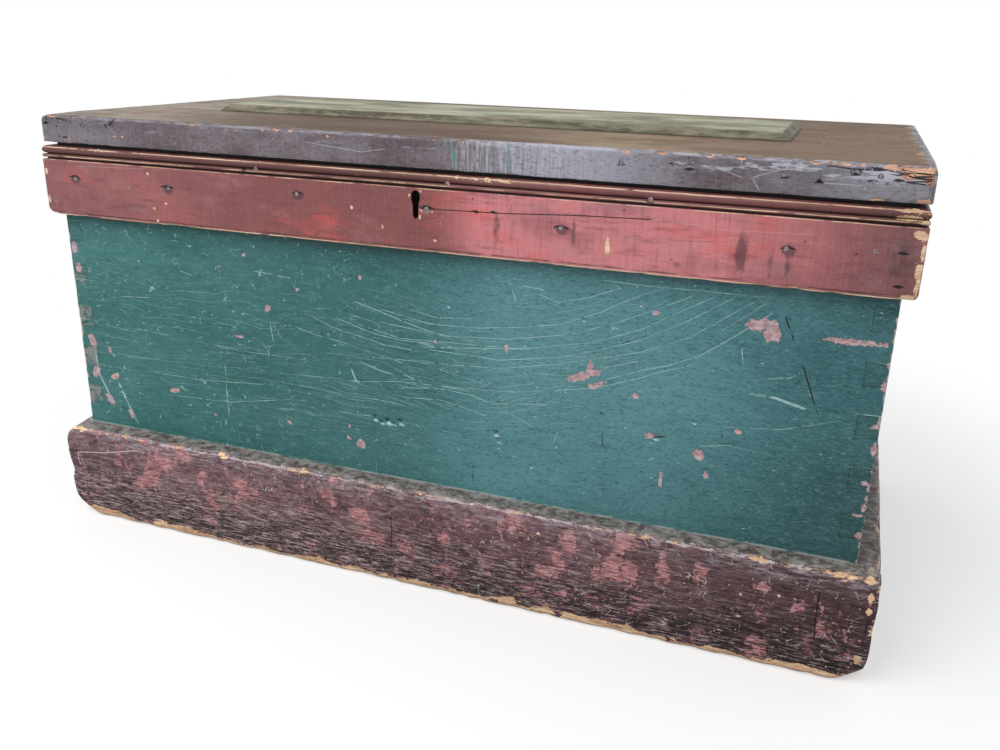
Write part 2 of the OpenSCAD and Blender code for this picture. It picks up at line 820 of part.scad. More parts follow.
// Hinges
module hinge_case_leaf_left() { dark_iron() at_hinge(-hinge_x) hinge_leaf(-1, 0); }
module hinge_lid_leaf_left() { dark_iron() at_hinge(-hinge_x) hinge_leaf(1, 1); }
module hinge_pin_left() { dark_iron() at_hinge(-hinge_x) hinge_pin(); }
module hinge_case_leaf_right() { dark_iron() at_hinge(hinge_x) hinge_leaf(-1, 0); }
module hinge_lid_leaf_right() { dark_iron() at_hinge(hinge_x) hinge_leaf(1, 1); }
module hinge_pin_right() { dark_iron() at_hinge(hinge_x) hinge_pin(); }

module hinge_case_screws() {
    dark_iron() for (x = [-hinge_x, hinge_x]) at_hinge(x) leaf_screw_places(-1) screw();
}

module hinge_lid_screws() {
    dark_iron() for (x = [-hinge_x, hinge_x]) at_hinge(x) leaf_screw_places(1) screw();
}

// Slots that let the link plate's lugs into the lock
module lug_slots() {
    for (x = [-1, 1] * lug_pitch / 2) {
        block([x - lug_t / 2 - lug_room, -lock_face + lock_wall, case_top - lock_plate_t - over],
            [x + lug_t / 2 + lug_room, -inner_d - lock_plate_t, case_top + over]);
    }
}

// Lock: its box with the selvage and the pin that the key turns on
module lock_case() {
    wide = lock_half_w + lock_flange;
    back_y = -inner_d - lock_plate_t;
    under = case_top - lock_plate_t;
    lock_brass() {
        difference() {
            union() {
                block([-lock_half_w, -lock_face, lock_low], [lock_half_w, back_y, under]);
                block([-wide, -inner_d - selvage_d, under], [wide, back_y, case_top]);
            }
            block([-lock_half_w + lock_wall, -lock_face + lock_wall, lock_low + lock_wall],
                [lock_half_w - lock_wall, back_y + over, under]);
            lug_slots();
            upright(-lock_face - over, -lock_face + lock_wall + over) keyhole_outline();
            selvage_screw_places() screw_hole();
        }
    }
}

// Cap that closes the lock towards the inside of the trunk, with the pin for a barrel key
module lock_cap() {
    wide = lock_half_w + lock_flange;
    lock_brass() {
        difference() {
            block([-wide, -inner_d - lock_plate_t, lock_low - lock_flange / 2], [wide, -inner_d, case_top]);
            cap_screw_places() screw_hole();
        }
        translate([0, -inner_d - lock_plate_t, key_z]) rotate([90, 0, 0]) {
            cylinder(r = drill_pin_r, h = lock_room - drill_pin_gap);
        }
    }
}

// Bolt with two fingers that run through the link plate's lugs
module lock_bolt() {
    y0 = -lock_mid - bolt_t / 2;
    y1 = -lock_mid + bolt_t / 2;
    tip = -lug_t / 2 - finger_gap;
    heel = tip - finger_l;
    top = eye_z + finger_h / 2;
    lock_brass() difference() {
        union() {
            block([-lug_pitch / 2 + heel - arm_w, y0, bolt_z], [lug_pitch / 2 + lug_t, y1, bolt_z + bolt_h]);
            for (x = [-1, 1] * lug_pitch / 2) {
                block([x + heel - arm_w, y0, bolt_z], [x + heel, y1, top]);
                block([x + heel - arm_w, y0, top - finger_h], [x + tip, y1, top]);
            }
        }
        block([-talon_w / 2, y0 - over, bolt_z - over], [talon_w / 2, y1 + over, bolt_z + talon_h]);
    }
}

// Leaf spring that presses up against the bolt's bar
module lock_spring() {
    wall_x = lock_half_w - lock_wall;
    turn = asin((spring_run - spring_gap) / spring_r);
    spring_w = bolt_t - 1;
    dark_iron() translate([wall_x - spring_run, -lock_mid + spring_w / 2, bolt_z - spring_gap - spring_r]) {
        rotate([90, turn - 90, 0]) rotate_extrude(angle = turn) {
            translate([spring_r - spring_t, 0]) square([spring_t, spring_w]);
        }
    }
}

module lock_screws() {
    dark_iron() {
        cap_screw_places() screw();
        selvage_screw_places() screw();
    }
}

// Bed of the link plate in the lid's front rail
module link_bed() {
    block([-link_half_w - fit_gap, -inner_d - selvage_d, lid_z - over],
        [link_half_w + fit_gap, -inner_d, lid_z + lock_plate_t]);
    link_screw_places() screw_hole();
}

module link_plate() {
    lock_brass() difference() {
        union() {
            block([-link_half_w, -inner_d - selvage_d, lid_z], [link_half_w, -inner_d, lid_z + lock_plate_t]);
            for (x = [-1, 1] * lug_pitch / 2) {
                block([x - lug_t / 2, -lock_mid - lug_w / 2, case_top - lug_l],
                    [x + lug_t / 2, -lock_mid + lug_w / 2, lid_z + lock_plate_t]);
            }
        }
        for (x = [-1, 1] * lug_pitch / 2) {
            block([x - lug_t, -lock_mid - bolt_t / 2 - eye_room, eye_z - eye_h / 2],
                [x + lug_t, -lock_mid + bolt_t / 2 + eye_room, eye_z + eye_h / 2]);
        }
        link_screw_places() screw_hole();
    }
}

module link_screws() {
    dark_iron() link_screw_places() screw();
}

// Lift handles, made for the right-hand end
module handle_screw_places() {
    low = plate_top - handle_plate_h;
    for (y = [-1, 1] * (handle_plate_l / 2 - handle_screw_inset)) {
        for (z = [low + handle_screw_inset, plate_top - handle_screw_inset]) {
            translate([half_l + handle_plate_t, y, z]) rotate([0, 90, 0]) children();
        }
    }
}

module handle_plate() {
    difference() {
        block([half_l, -handle_plate_l / 2, plate_top - handle_plate_h],
            [half_l + handle_plate_t, handle_plate_l / 2, plate_top]);
        handle_screw_places() screw_hole();
    }
}

// Lays a thing along Y on the handle's pivot axis, starting at y
module lying(y) {
    translate([pivot_x, y, handle_z]) rotate([-90, 0, 0]) children();
}

module handle_eyes() {
    for (y = [-1, 1] * eye_pitch / 2) {
        difference() {
            union() {
                block([half_l + handle_plate_t, y - eye_w / 2, handle_z - eye_r],
                    [pivot_x, y + eye_w / 2, handle_z + eye_r]);
                lying(y - eye_w / 2) cylinder(r = eye_r, h = eye_w);
            }
            lying(y - eye_w) cylinder(r = bail_pivot_r + fit_gap, h = 2 * eye_w);
        }
    }
}

// Bail: two pivots, two arms, two bent corners and a grip
module handle_bail() {
    arm = bail_l - bail_bend_r;
    grip = bail_half_w - bail_bend_r;
    translate([pivot_x, 0, handle_z]) {
        for (end = [0, 1]) mirror([0, end, 0]) {
            translate([0, pivot_end, 0]) rotate([90, 0, 0]) {
                cylinder(r = bail_pivot_r, h = pivot_end - bail_half_w);
            }
            translate([0, bail_half_w, -arm]) cylinder(r = bail_r, h = arm);
            translate([0, bail_half_w, 0]) sphere(r = bail_r);
            translate([0, grip, -arm]) rotate([90, 90, 90]) rotate_extrude(angle = 90) {
                translate([bail_bend_r, 0]) circle(bail_r);
            }
        }
        translate([0, grip, -bail_l]) rotate([90, 0, 0]) cylinder(r = bail_r, h = 2 * grip);
    }
}

module handle_plate_left() { dark_iron() mirror([1, 0, 0]) handle_plate(); }
module handle_eyes_left() { dark_iron() mirror([1, 0, 0]) handle_eyes(); }
module handle_bail_left() { dark_iron() mirror([1, 0, 0]) handle_bail(); }
module handle_plate_right() { dark_iron() handle_plate(); }
module handle_eyes_right() { dark_iron() handle_eyes(); }
module handle_bail_right() { dark_iron() handle_bail(); }

module handle_screws() {
    dark_iron() for (end = [0, 1]) mirror([end, 0, 0]) handle_screw_places() screw();
}

// Nails
module band_nails() { dark_iron() band_places() nail(band_t + nail_grip); }
module rim_nails() { dark_iron() rim_places() nail(rim_t + long_nail_grip); }
module plinth_nails() { dark_iron() plinth_places() nail(plinth_t + long_nail_grip); }
module bottom_nails() { dark_iron() bottom_places() nail(bottom_t + long_nail_grip); }

case_front();
case_back();
case_left();
case_right();
bottom_boards();
glue_blocks();
plinth_front();
plinth_back();
plinth_left();
plinth_right();
band_front();
band_back();
band_left();
band_right();
lid_rail_front();
lid_rail_back();
lid_stile_left();
lid_stile_right();
lid_panel();
rim_front();
rim_left();
rim_right();
hinge_case_leaf_left();
hinge_lid_leaf_left();
hinge_pin_left();
hinge_case_leaf_right();
hinge_lid_leaf_right();
hinge_pin_right();
hinge_case_screws();
hinge_lid_screws();
lock_case();
lock_cap();
lock_bolt();
lock_spring();
lock_screws();
link_plate();
link_screws();
handle_plate_left();
handle_eyes_left();
handle_bail_left();
handle_plate_right();
handle_eyes_right();
handle_bail_right();
handle_screws();
band_nails();
rim_nails();
plinth_nails();
bottom_nails();
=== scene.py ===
import math
from functools import partialmethod, reduce

import bmesh
import bpy
import numpy as np
from mathutils import Matrix, Vector


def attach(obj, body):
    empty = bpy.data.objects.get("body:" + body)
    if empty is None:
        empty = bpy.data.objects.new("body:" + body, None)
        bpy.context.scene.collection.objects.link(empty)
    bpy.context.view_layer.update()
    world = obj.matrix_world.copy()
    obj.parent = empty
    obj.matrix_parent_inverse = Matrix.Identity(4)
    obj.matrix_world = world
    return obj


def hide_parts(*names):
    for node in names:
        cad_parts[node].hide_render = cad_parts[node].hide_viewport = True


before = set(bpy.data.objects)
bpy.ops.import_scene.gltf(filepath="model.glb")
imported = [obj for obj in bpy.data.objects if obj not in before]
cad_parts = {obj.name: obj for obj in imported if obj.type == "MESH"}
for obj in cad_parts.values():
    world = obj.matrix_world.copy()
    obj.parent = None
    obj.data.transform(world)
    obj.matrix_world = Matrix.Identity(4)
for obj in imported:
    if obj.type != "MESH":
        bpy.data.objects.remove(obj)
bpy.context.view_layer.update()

MM = 0.001
FRONT, RIGHT, BACK, LEFT = range(4)
SIDE_TURNS = ((1, 0), (0, 1), (-1, 0), (0, -1))

# Sizes of the trunk in millimetres, as in its part.scad
HALF_L, HALF_D = 457.0, 238.0
CASE_T = 20.0
CASE_Z, CASE_TOP = 44.0, 476.0
CASE_H = CASE_TOP - CASE_Z
BOTTOM_Z = 26
PIN_STEP, PIN_W, PIN_SLOPE = 50.9375, 24.5, 2.6
PLINTH_T, PLINTH_H, PLINTH_TOP_R, PLINTH_LOW_R = 23.0, 120.0, 7.0, 6.0
PLINTH_PIN_Z, PLINTH_PIN_W = (77.5, 32.5), 21.0
WORN_CUTS = ((6.0, 34.0), (33.0, 24.0))
BAND_Z, BAND_H, BAND_T = 384.0, 78.0, 12.0
BEAD_R, SMALL_BEAD_R, QUIRK_W, GROOVE_W, BEAD_D = 4.4, 1.9, 0.6, 1.8, 4.0
LID_Z, LID_TOP = 476.0, 496.0
LID_HALF_L, LID_FRONT = 457.8, 238.8
RIM_Z, RIM_H, RIM_T, RIM_R = 466.0, 30.0, 11.0, 2.5
STILE_IN, RAIL_IN_FRONT, RAIL_IN_BACK = 339.8, -90.8, 90.0
KEY_Z, KEY_R, SLOT_R, KEY_LOW = 439.7, 4.7, 2.9, 416.4
SELVAGE_HALF, SELVAGE_W, SELVAGE_T, SELVAGE_LOW = 52, 15, 2, 405
LOCK_HALF, LOCK_DEEP, LOCK_LOW = 42, 13, 410
HINGE_X, LEAF_HALF, LEAF_W, LEAF_T = 282, 38.05, 17.35, 2.5
NAIL_HEAD_R, NAIL_HEAD_T, NAIL_SINK, NAIL_R, NAIL_POINT = 2.6, 0.9, 0.5, 1.3, 3.0
BAND_FLAT = BAND_H - 2 * BEAD_R - QUIRK_W - 2 * SMALL_BEAD_R - GROOVE_W

# Worn lines along the band: height, half width and share of the length that shows
BAND_WORN = [(BAND_Z + BAND_H - 1.9, 0.7, 1.0), (BAND_Z + BAND_FLAT + GROOVE_W + SMALL_BEAD_R, 0.6, 0.6),
             (BAND_Z + BAND_FLAT - 0.6, 0.5, 0.2), (BAND_Z + 1.0, 0.8, 1.0)]


# Camera: where the photograph was taken from
def set_camera():
    yaw, pitch, roll = 0.3464, -0.3396, 0.0236
    forward = Vector((-math.sin(yaw) * math.cos(pitch), math.cos(yaw) * math.cos(pitch), math.sin(pitch)))
    level = Vector((math.cos(yaw), math.sin(yaw), 0))
    rise = level.cross(forward)
    across = math.cos(roll) * level + math.sin(roll) * rise
    upward = math.cos(roll) * rise - math.sin(roll) * level
    lens = bpy.data.cameras.new("camera")
    lens.sensor_fit = "HORIZONTAL"
    lens.sensor_width = 36
    lens.lens = 34.12
    lens.clip_end = 50
    camera = bpy.data.objects.new("camera", lens)
    camera.matrix_world = Matrix((across, upward, -forward)).transposed().to_4x4()
    camera.location = Vector((402.48, -1106.06, 586.05)) * MM
    bpy.context.scene.collection.objects.link(camera)
    bpy.context.scene.camera = camera


# Node trees
class Wire:
    """One output of a node, which can stand in a sum."""

    def __init__(self, tree, socket):
        self.tree = tree
        self.socket = socket

    def maths(self, operation, *others):
        return self.tree.maths(operation, self, *others)

    def __rsub__(self, other):
        return self.tree.maths("SUBTRACT", other, self)

    def step(self, low, high):
        """0 below low and 1 above high, or the other way round where low is the larger."""
        return self.tree.node("ShaderNodeMapRange", {"interpolation_type": "SMOOTHSTEP"},
                              {"Value": self, "From Min": low, "From Max": high})

    __add__ = __radd__ = partialmethod(maths, "ADD")
    __sub__ = partialmethod(maths, "SUBTRACT")
    __mul__ = __rmul__ = partialmethod(maths, "MULTIPLY")
    __truediv__ = partialmethod(maths, "DIVIDE")
    __abs__ = partialmethod(maths, "ABSOLUTE")
    least = partialmethod(maths, "MINIMUM")
    most = partialmethod(maths, "MAXIMUM")


class Tree:
    """A node tree that is filled with expressions."""

    def __init__(self, tree):
        self.tree = tree

    def node(self, kind, settings=None, inputs=(), out=0):
        made = self.tree.nodes.new(kind)
        for name, value in (settings or {}).items():
            setattr(made, name, value)
        for key, value in inputs.items() if isinstance(inputs, dict) else enumerate(inputs):
            if isinstance(value, Wire):
                self.tree.links.new(value.socket, made.inputs[key])
            else:
                made.inputs[key].default_value = value
        return Wire(self, made.outputs[out]) if len(made.outputs) else None

    def maths(self, operation, *values):
        return self.node("ShaderNodeMath", {"operation": operation}, values)

    def vector(self, operation, *values, out=0):
        return self.node("ShaderNodeVectorMath", {"operation": operation}, values, out)

    def scaled(self, wire, factor):
        return self.node("ShaderNodeVectorMath", {"operation": "SCALE"}, {0: wire, "Scale": factor})


def axes(stretch):
    """How far something is drawn out along X, Y and Z: one number draws it out along X and Y."""
    return stretch if isinstance(stretch, tuple) else (stretch, stretch, 1)


class Finish(Tree):
    """A material, with the place on the object in millimetres ready to use and the colour laid so far."""

    def __init__(self, name):
        self.material = bpy.data.materials.new(name)
        self.material.use_nodes = True
        super().__init__(self.material.node_tree)
        self.tree.nodes.clear()
        self.here = self.scaled(self.node("ShaderNodeTexCoord", out="Object"), 1 / MM)
        self.x, self.y, self.z = self.parts(self.here)
        self.colour = None

    def parts(self, wire):
        made = self.node("ShaderNodeSeparateXYZ", inputs=[wire])
        return [Wire(self, made.socket.node.outputs[k]) for k in range(3)]

    def mix(self, share, first, second):
        """Colour between two others."""
        first, second = [c if isinstance(c, Wire) else (*c, 1) for c in (first, second)]
        return self.node("ShaderNodeMix", {"data_type": "RGBA"}, {0: share, 6: first, 7: second}, out=2)

    def lay(self, share, colour):
        """Lays a colour over what is there, where share says so."""
        self.colour = self.mix(share, self.colour, colour)

    def noise(self, size, detail=3.0, rough=0.55, stretch=1, shift=0.0, turn=(0, 0, 0)):
        """Cloudy values round 0.5, with clouds of about size millimetres, drawn out by stretch."""
        place = self.node("ShaderNodeMapping", inputs={
            "Vector": self.here, "Location": (shift, 1.7 * shift, 2.3 * shift),
            "Rotation": turn, "Scale": tuple(1 / (size * s) for s in axes(stretch))})
        return self.node("ShaderNodeTexNoise", inputs={
            "Vector": place, "Scale": 1.0, "Detail": detail, "Roughness": rough})

    def warped(self, size, amount):
        """The place, moved about by noise."""
        cloud = self.node("ShaderNodeTexNoise", out="Color", inputs={
            "Vector": self.scaled(self.here, 1 / size), "Scale": 1.0, "Detail": 2.0})
        moved = self.vector("MULTIPLY_ADD", cloud, (2 * amount,) * 3, (-amount,) * 3)
        return self.vector("ADD", self.here, moved)

    def specks(self, size, radius, chance, stretch=1, turn=(0, 0, 0), at=None):
        """Spots of about radius, one in each cell of size, of which chance stay; drawn out by stretch."""
        turned = self.node("ShaderNodeMapping", {"vector_type": "TEXTURE"},
                           {"Vector": at or self.here, "Rotation": turn, "Scale": axes(stretch)})
        cells = self.node("ShaderNodeTexVoronoi", inputs={"Vector": turned, "Scale": 1 / size})
        draw = self.parts(Wire(self, cells.socket.node.outputs["Color"]))[0]
        return cells.step(radius * 1.25 / size, radius * 0.7 / size) * draw.step(1 - chance, 1.001 - chance)

    def attribute(self, name):
        return self.node("ShaderNodeAttribute", {"attribute_name": name}, out="Fac")

    def line(self, name):
        """A line from the piece's own fields: 1 on it and 0 beside it."""
        side = abs(self.attribute(name + "_side"))
        return side.step(1.25, 0.7) * self.attribute(name + "_near").step(2.4, 3.2)

    def chips(self, ragged=2.4, size=5.0):
        """The chips that the piece gives, with their outline roughened."""
        given = self.attribute("chip")
        outline = (self.noise(size, 4, 0.7, shift=23) - 0.5) * ragged
        return (given + outline).step(1.95, 2.07)

    def hairs(self, size, width, chance, shift):
        """Short curling hair lines: the contours of a noise, shown where another one is high."""
        curl = abs(self.noise(size, 1, shift=shift) - 0.5).step(width, width * 0.4)
        return curl * self.noise(size * 0.8, 2, shift=shift + 31).step(chance, chance + 0.05)

    def pine(self, stretch, dark, light):
        """Bare pine with its grain drawn out by stretch."""
        broad = self.noise(7, 3, 0.6, stretch, 31)
        fine = self.noise(1.6, 2, 0.7, stretch, 57)
        return self.mix((broad * 0.65 + fine * 0.35).step(0.34, 0.66), dark, light)

    def board(self, stretch, dark, light):
        """A planed pine board: growth rings in long waves, fine hairs along them and a few stains."""
        rings = self.noise(34, 1, 0.5, stretch, 31) * 7 + self.noise(9, 3, 0.6, stretch, 37) * 0.7
        ring = rings.maths("FRACT")
        late = ring.step(0.35, 0.92) * ring.step(1.0, 0.95)
        hairs = self.noise(1.5, 3, 0.7, stretch, 57)
        wood = self.mix(0.55 - late * 0.42 + (hairs - 0.5) * 0.9, dark, light)
        stain = self.noise(70, 4, 0.66, tuple(0.6 + 0.09 * k for k in axes(stretch)), 4)
        return self.mix(stain.step(0.5, 0.74) * 0.45, wood, tuple(0.42 * c for c in dark))

    def shell(self, rough, relief, gloss=0.5, metal=0.0):
        """Closes the material: roughness, height of its relief in millimetres, gloss and metal."""
        bump = self.node("ShaderNodeBump", inputs={"Strength": 1.0, "Distance": MM, "Height": relief})
        body = self.node("ShaderNodeBsdfPrincipled", inputs={
            "Base Color": self.colour, "Roughness": rough, "Normal": bump,
            "Specular IOR Level": gloss, "Metallic": metal})
        self.node("ShaderNodeOutputMaterial", inputs=[body])
        return self.material


# Marks on the front of the case. Chips: X, Z, half length, half height and turn in degrees, where not
# those of CHIP_SIZE
CASE_CHIPS = [
    (-188, 299, 5, 3.4, 60), (-149, 325, 3, 2, 20), (-71, 346, 2, 3.6), (-416, 219, 3, 5, 10),
    (-413, 186, 6, 4, 30), (-425, 155, 8, 5, -50), (-395, 140, 3, 6, 20), (-167, 165, 4, 2.4, -30),
    (-75, 154, 5, 5.5), (-90, 159, 3, 2), (-89, 173, 2, 3), (-269, 159, 3, 2), (-326, 181, 8, 3, 10),
    (-452, 344, 4, 8), (-449, 320, 4, 7), (-442, 229, 5, 9, 20), (-441, 190, 5, 9, -20),
    (178, 272, 21, 4.2, 22), (184, 280, 3, 9), (192, 264, 11, 3, 24), (231, 259, 3.6, 3.6),
    (246, 345, 4, 2.6), (298, 207, 5.5, 5.5), (307, 187, 3, 4.5), (343, 345, 16, 6, 12),
    (353, 339, 8, 10, 20), (249, 219, 7, 3, 8), (333, 237, 3, 2.4), (424, 339, 30, 2.8, 1),
    (263, 173, 1.6, 10), (-226, 261, 7, 1.8, 5), (-214, 357, 4, 1.6, 20), (-248, 341, 3, 1.6),
    (95, 290, 2, 6), (16, 286, 2, 3, 20), (455, 300, 3, 5), (453, 262, 4, 3, 10), (455, 240, 3, 7),
    (452, 205, 4, 2.4, -10), (455, 180, 3, 6), (454, 150, 3, 4), (449, 171, 5, 1.8, 5)
]
# Lines: half width, then the points that each runs through
CASE_SCRAPES = [
    (1.6, (-408, 176), (-398, 152), (-387, 130)), (1.5, (-439, 214), (-438, 187), (-426, 162)),
    (0.8, (354, 294), (374, 298)), (1.3, (342, 277), (361, 277), (389, 270)),
    (0.9, (-84, 241), (-79, 229)), (0.7, (-185, 279), (-183, 263))
]
CASE_SCRATCHES = [
    (0.36, (-44, 314), (10, 305), (61, 307), (109, 314), (151, 322), (191, 339), (219, 355), (249, 369)),
    (0.34, (-48, 300), (27, 294), (99, 300), (162, 313), (211, 332), (249, 350), (278, 365)),
    (0.38, (-72, 294), (-25, 285), (22, 287), (110, 291), (183, 307), (231, 326), (268, 349), (296, 365)),
    (0.38, (10, 277), (89, 276), (153, 288), (193, 301), (232, 316), (278, 342), (315, 367)),
    (0.36, (-49, 260), (44, 264), (89, 267), (153, 281), (194, 293), (233, 304), (279, 325), (310, 348),
     (336, 367)),
    (0.36, (195, 269), (239, 287), (258, 293), (290, 308), (320, 331), (356, 361)),
    (0.5, (97, 359), (104, 341)), (0.5, (153, 205), (149, 193)),
    (0.34, (-250, 221), (-251, 189), (-250, 160)), (1.6, (-315, 187), (-312, 185)),
    (1.0, (-255, 153), (-255, 150)), (1.0, (-256, 123), (-256, 119)), (0.5, (328, 318), (330, 308)),
    (0.45, (458, 322), (437, 323)), (0.45, (458, 273), (436, 272)), (0.45, (458, 221), (436, 220)),
    (0.34, (-458, 306), (-436, 305)), (0.34, (-458, 256), (-438, 255)),
    (0.32, (300, 216), (326, 222), (350, 219)), (0.32, (-200, 340), (-160, 337)),
    (0.3, (-310, 306), (-260, 308))
]
CASE_SCORES = [
    (0.45, (-77, 319), (-48, 312), (-24, 305), (4, 298), (27, 295)),
    (0.32, (-13, 318), (16, 313), (55, 316)),
    (0.36, (-100, 298), (-78, 292), (-54, 286), (-25, 283), (10, 284)),
    (0.45, (1, 279), (33, 282), (110, 291)),
    (0.38, (-130, 296), (-109, 288), (-67, 280), (-43, 275), (-13, 274)),
    (0.34, (89, 265), (138, 268), (166, 270)),
    (0.38, (-150, 281), (-128, 276), (-97, 272), (-51, 263), (-25, 258)),
    (0.45, (199, 283), (214, 289), (233, 295)), (0.45, (129, 350), (148, 344)),
    (0.32, (148, 344), (180, 353), (209, 365)), (0.5, (-19, 244), (-2, 240)),
    (0.32, (-176, 224), (-124, 227), (-101, 229)),
    (0.32, (-87, 227), (-25, 236), (22, 238), (90, 242), (138, 249)),
    (0.34, (-151, 214), (-87, 210), (-50, 211), (-8, 208)),
    (0.36, (-26, 229), (22, 235), (56, 233), (77, 228)),
    (0.36, (-20, 219), (22, 222), (51, 217), (73, 212)), (0.45, (-73, 252), (-55, 247), (-35, 243)),
    (0.32, (22, 256), (56, 250), (78, 246)), (0.4, (81, 227), (139, 235)),
    (0.34, (90, 221), (107, 217), (126, 208)), (0.32, (-179, 181), (-146, 183), (-127, 180)),
    (0.36, (-101, 189), (-63, 190)), (0.5, (113, 357), (132, 355)),
    (0.4, (195, 371), (238, 370), (284, 371), (340, 371)), (0.32, (-262, 246), (-215, 244), (-159, 245)),
    (0.32, (-359, 200), (-287, 200), (-201, 207)), (0.32, (-333, 174), (-247, 178), (-185, 190)),
    (0.9, (-250, 222), (-250, 219)), (0.9, (-250, 190), (-250, 187)), (0.9, (-250, 169), (-250, 166)),
    (0.34, (150, 252), (195, 262), (235, 278), (254, 287), (282, 297)),
    (0.32, (308, 335), (332, 355), (343, 364)), (0.9, (204, 325), (208, 325)),
    (0.8, (103, 244), (107, 244)), (0.3, (322, 240), (372, 246), (420, 262)),
    (0.35, (-370, 252), (-330, 250)), (0.35, (-390, 290), (-350, 293)), (0.3, (-300, 330), (-286, 326))
]
CASE_GOUGES = [
    (0.7, (364, 353), (372, 336)), (0.6, (384, 311), (396, 281), (402, 268)),
    (0.8, (254, 218), (262, 220)), (0.4, (200, 213), (202, 200)), (0.4, (60, 150), (61, 136))
]
# Dents: X, Z and size in millimetres, each with painted shade in it and a painted highlight on its lower rim
DENT_SPOTS = [
    (-57, 190, 3.0), (-49, 186, 2.6), (-41, 189, 3.2), (-34, 186, 2.2), (-26, 190, 3.0), (-17, 192, 2.0),
    (-8, 190, 1.8), (86, 195, 3.0), (89, 187, 2.4), (254, 219, 2.6), (30, 328, 1.8), (174, 330, 2.0),
    (290, 241, 2.0), (126, 163, 1.8)
]
CASE_DENTS = [(x, z, 1.15 * r, 0.9 * r, 0.36 * r) for x, z, r in DENT_SPOTS]
CASE_DENTS += [(x + 0.5 * r, z - 1.15 * r, 1.1 * r, 0.7 * r, -0.4 * r) for x, z, r in DENT_SPOTS]


# Paints: the wood inside and under the lid, then what lies over it
PINE_DARK, PINE_LIGHT = (0.24, 0.14, 0.075), (0.56, 0.385, 0.22)


def corner_lines(f, pins, inner_x, inner_y, slope_run):
    """Fine dark lines where the dovetails meet, on the front, the back and the ends of a box."""
    low, high, step = pins
    level = (f.z - low) if step is None else (f.z - low).maths("FLOORED_MODULO", step)
    draw = (abs(f.x) - inner_x) / slope_run * PIN_SLOPE
    on_face = (abs(level - draw)).least(abs(level - (high - draw))) + (inner_x - abs(f.x)).most(0)
    side = (abs(abs(f.x) - inner_x)) + (level - high).most(0) + (0 - level).most(0)
    on_end = (abs(level - PIN_SLOPE)).least(abs(level - (high - PIN_SLOPE))) + (inner_y - abs(f.y)).most(0)
    tail = (abs(abs(f.y) - inner_y)) + ((level - PIN_SLOPE) * (high - PIN_SLOPE - level)).most(0)
    face = abs(f.y).step(inner_y + slope_run - 0.6, inner_y + slope_run - 0.2)
    end = abs(f.x).step(inner_x + slope_run - 0.6, inner_x + slope_run - 0.2)
    wobble = f.noise(5, 2, shift=9) * 0.5
    line = on_face.least(side) + wobble
    other = on_end.least(tail) + wobble
    return (line.step(0.9, 0.25) * face).most(other.step(0.9, 0.25) * end * (1 - face))


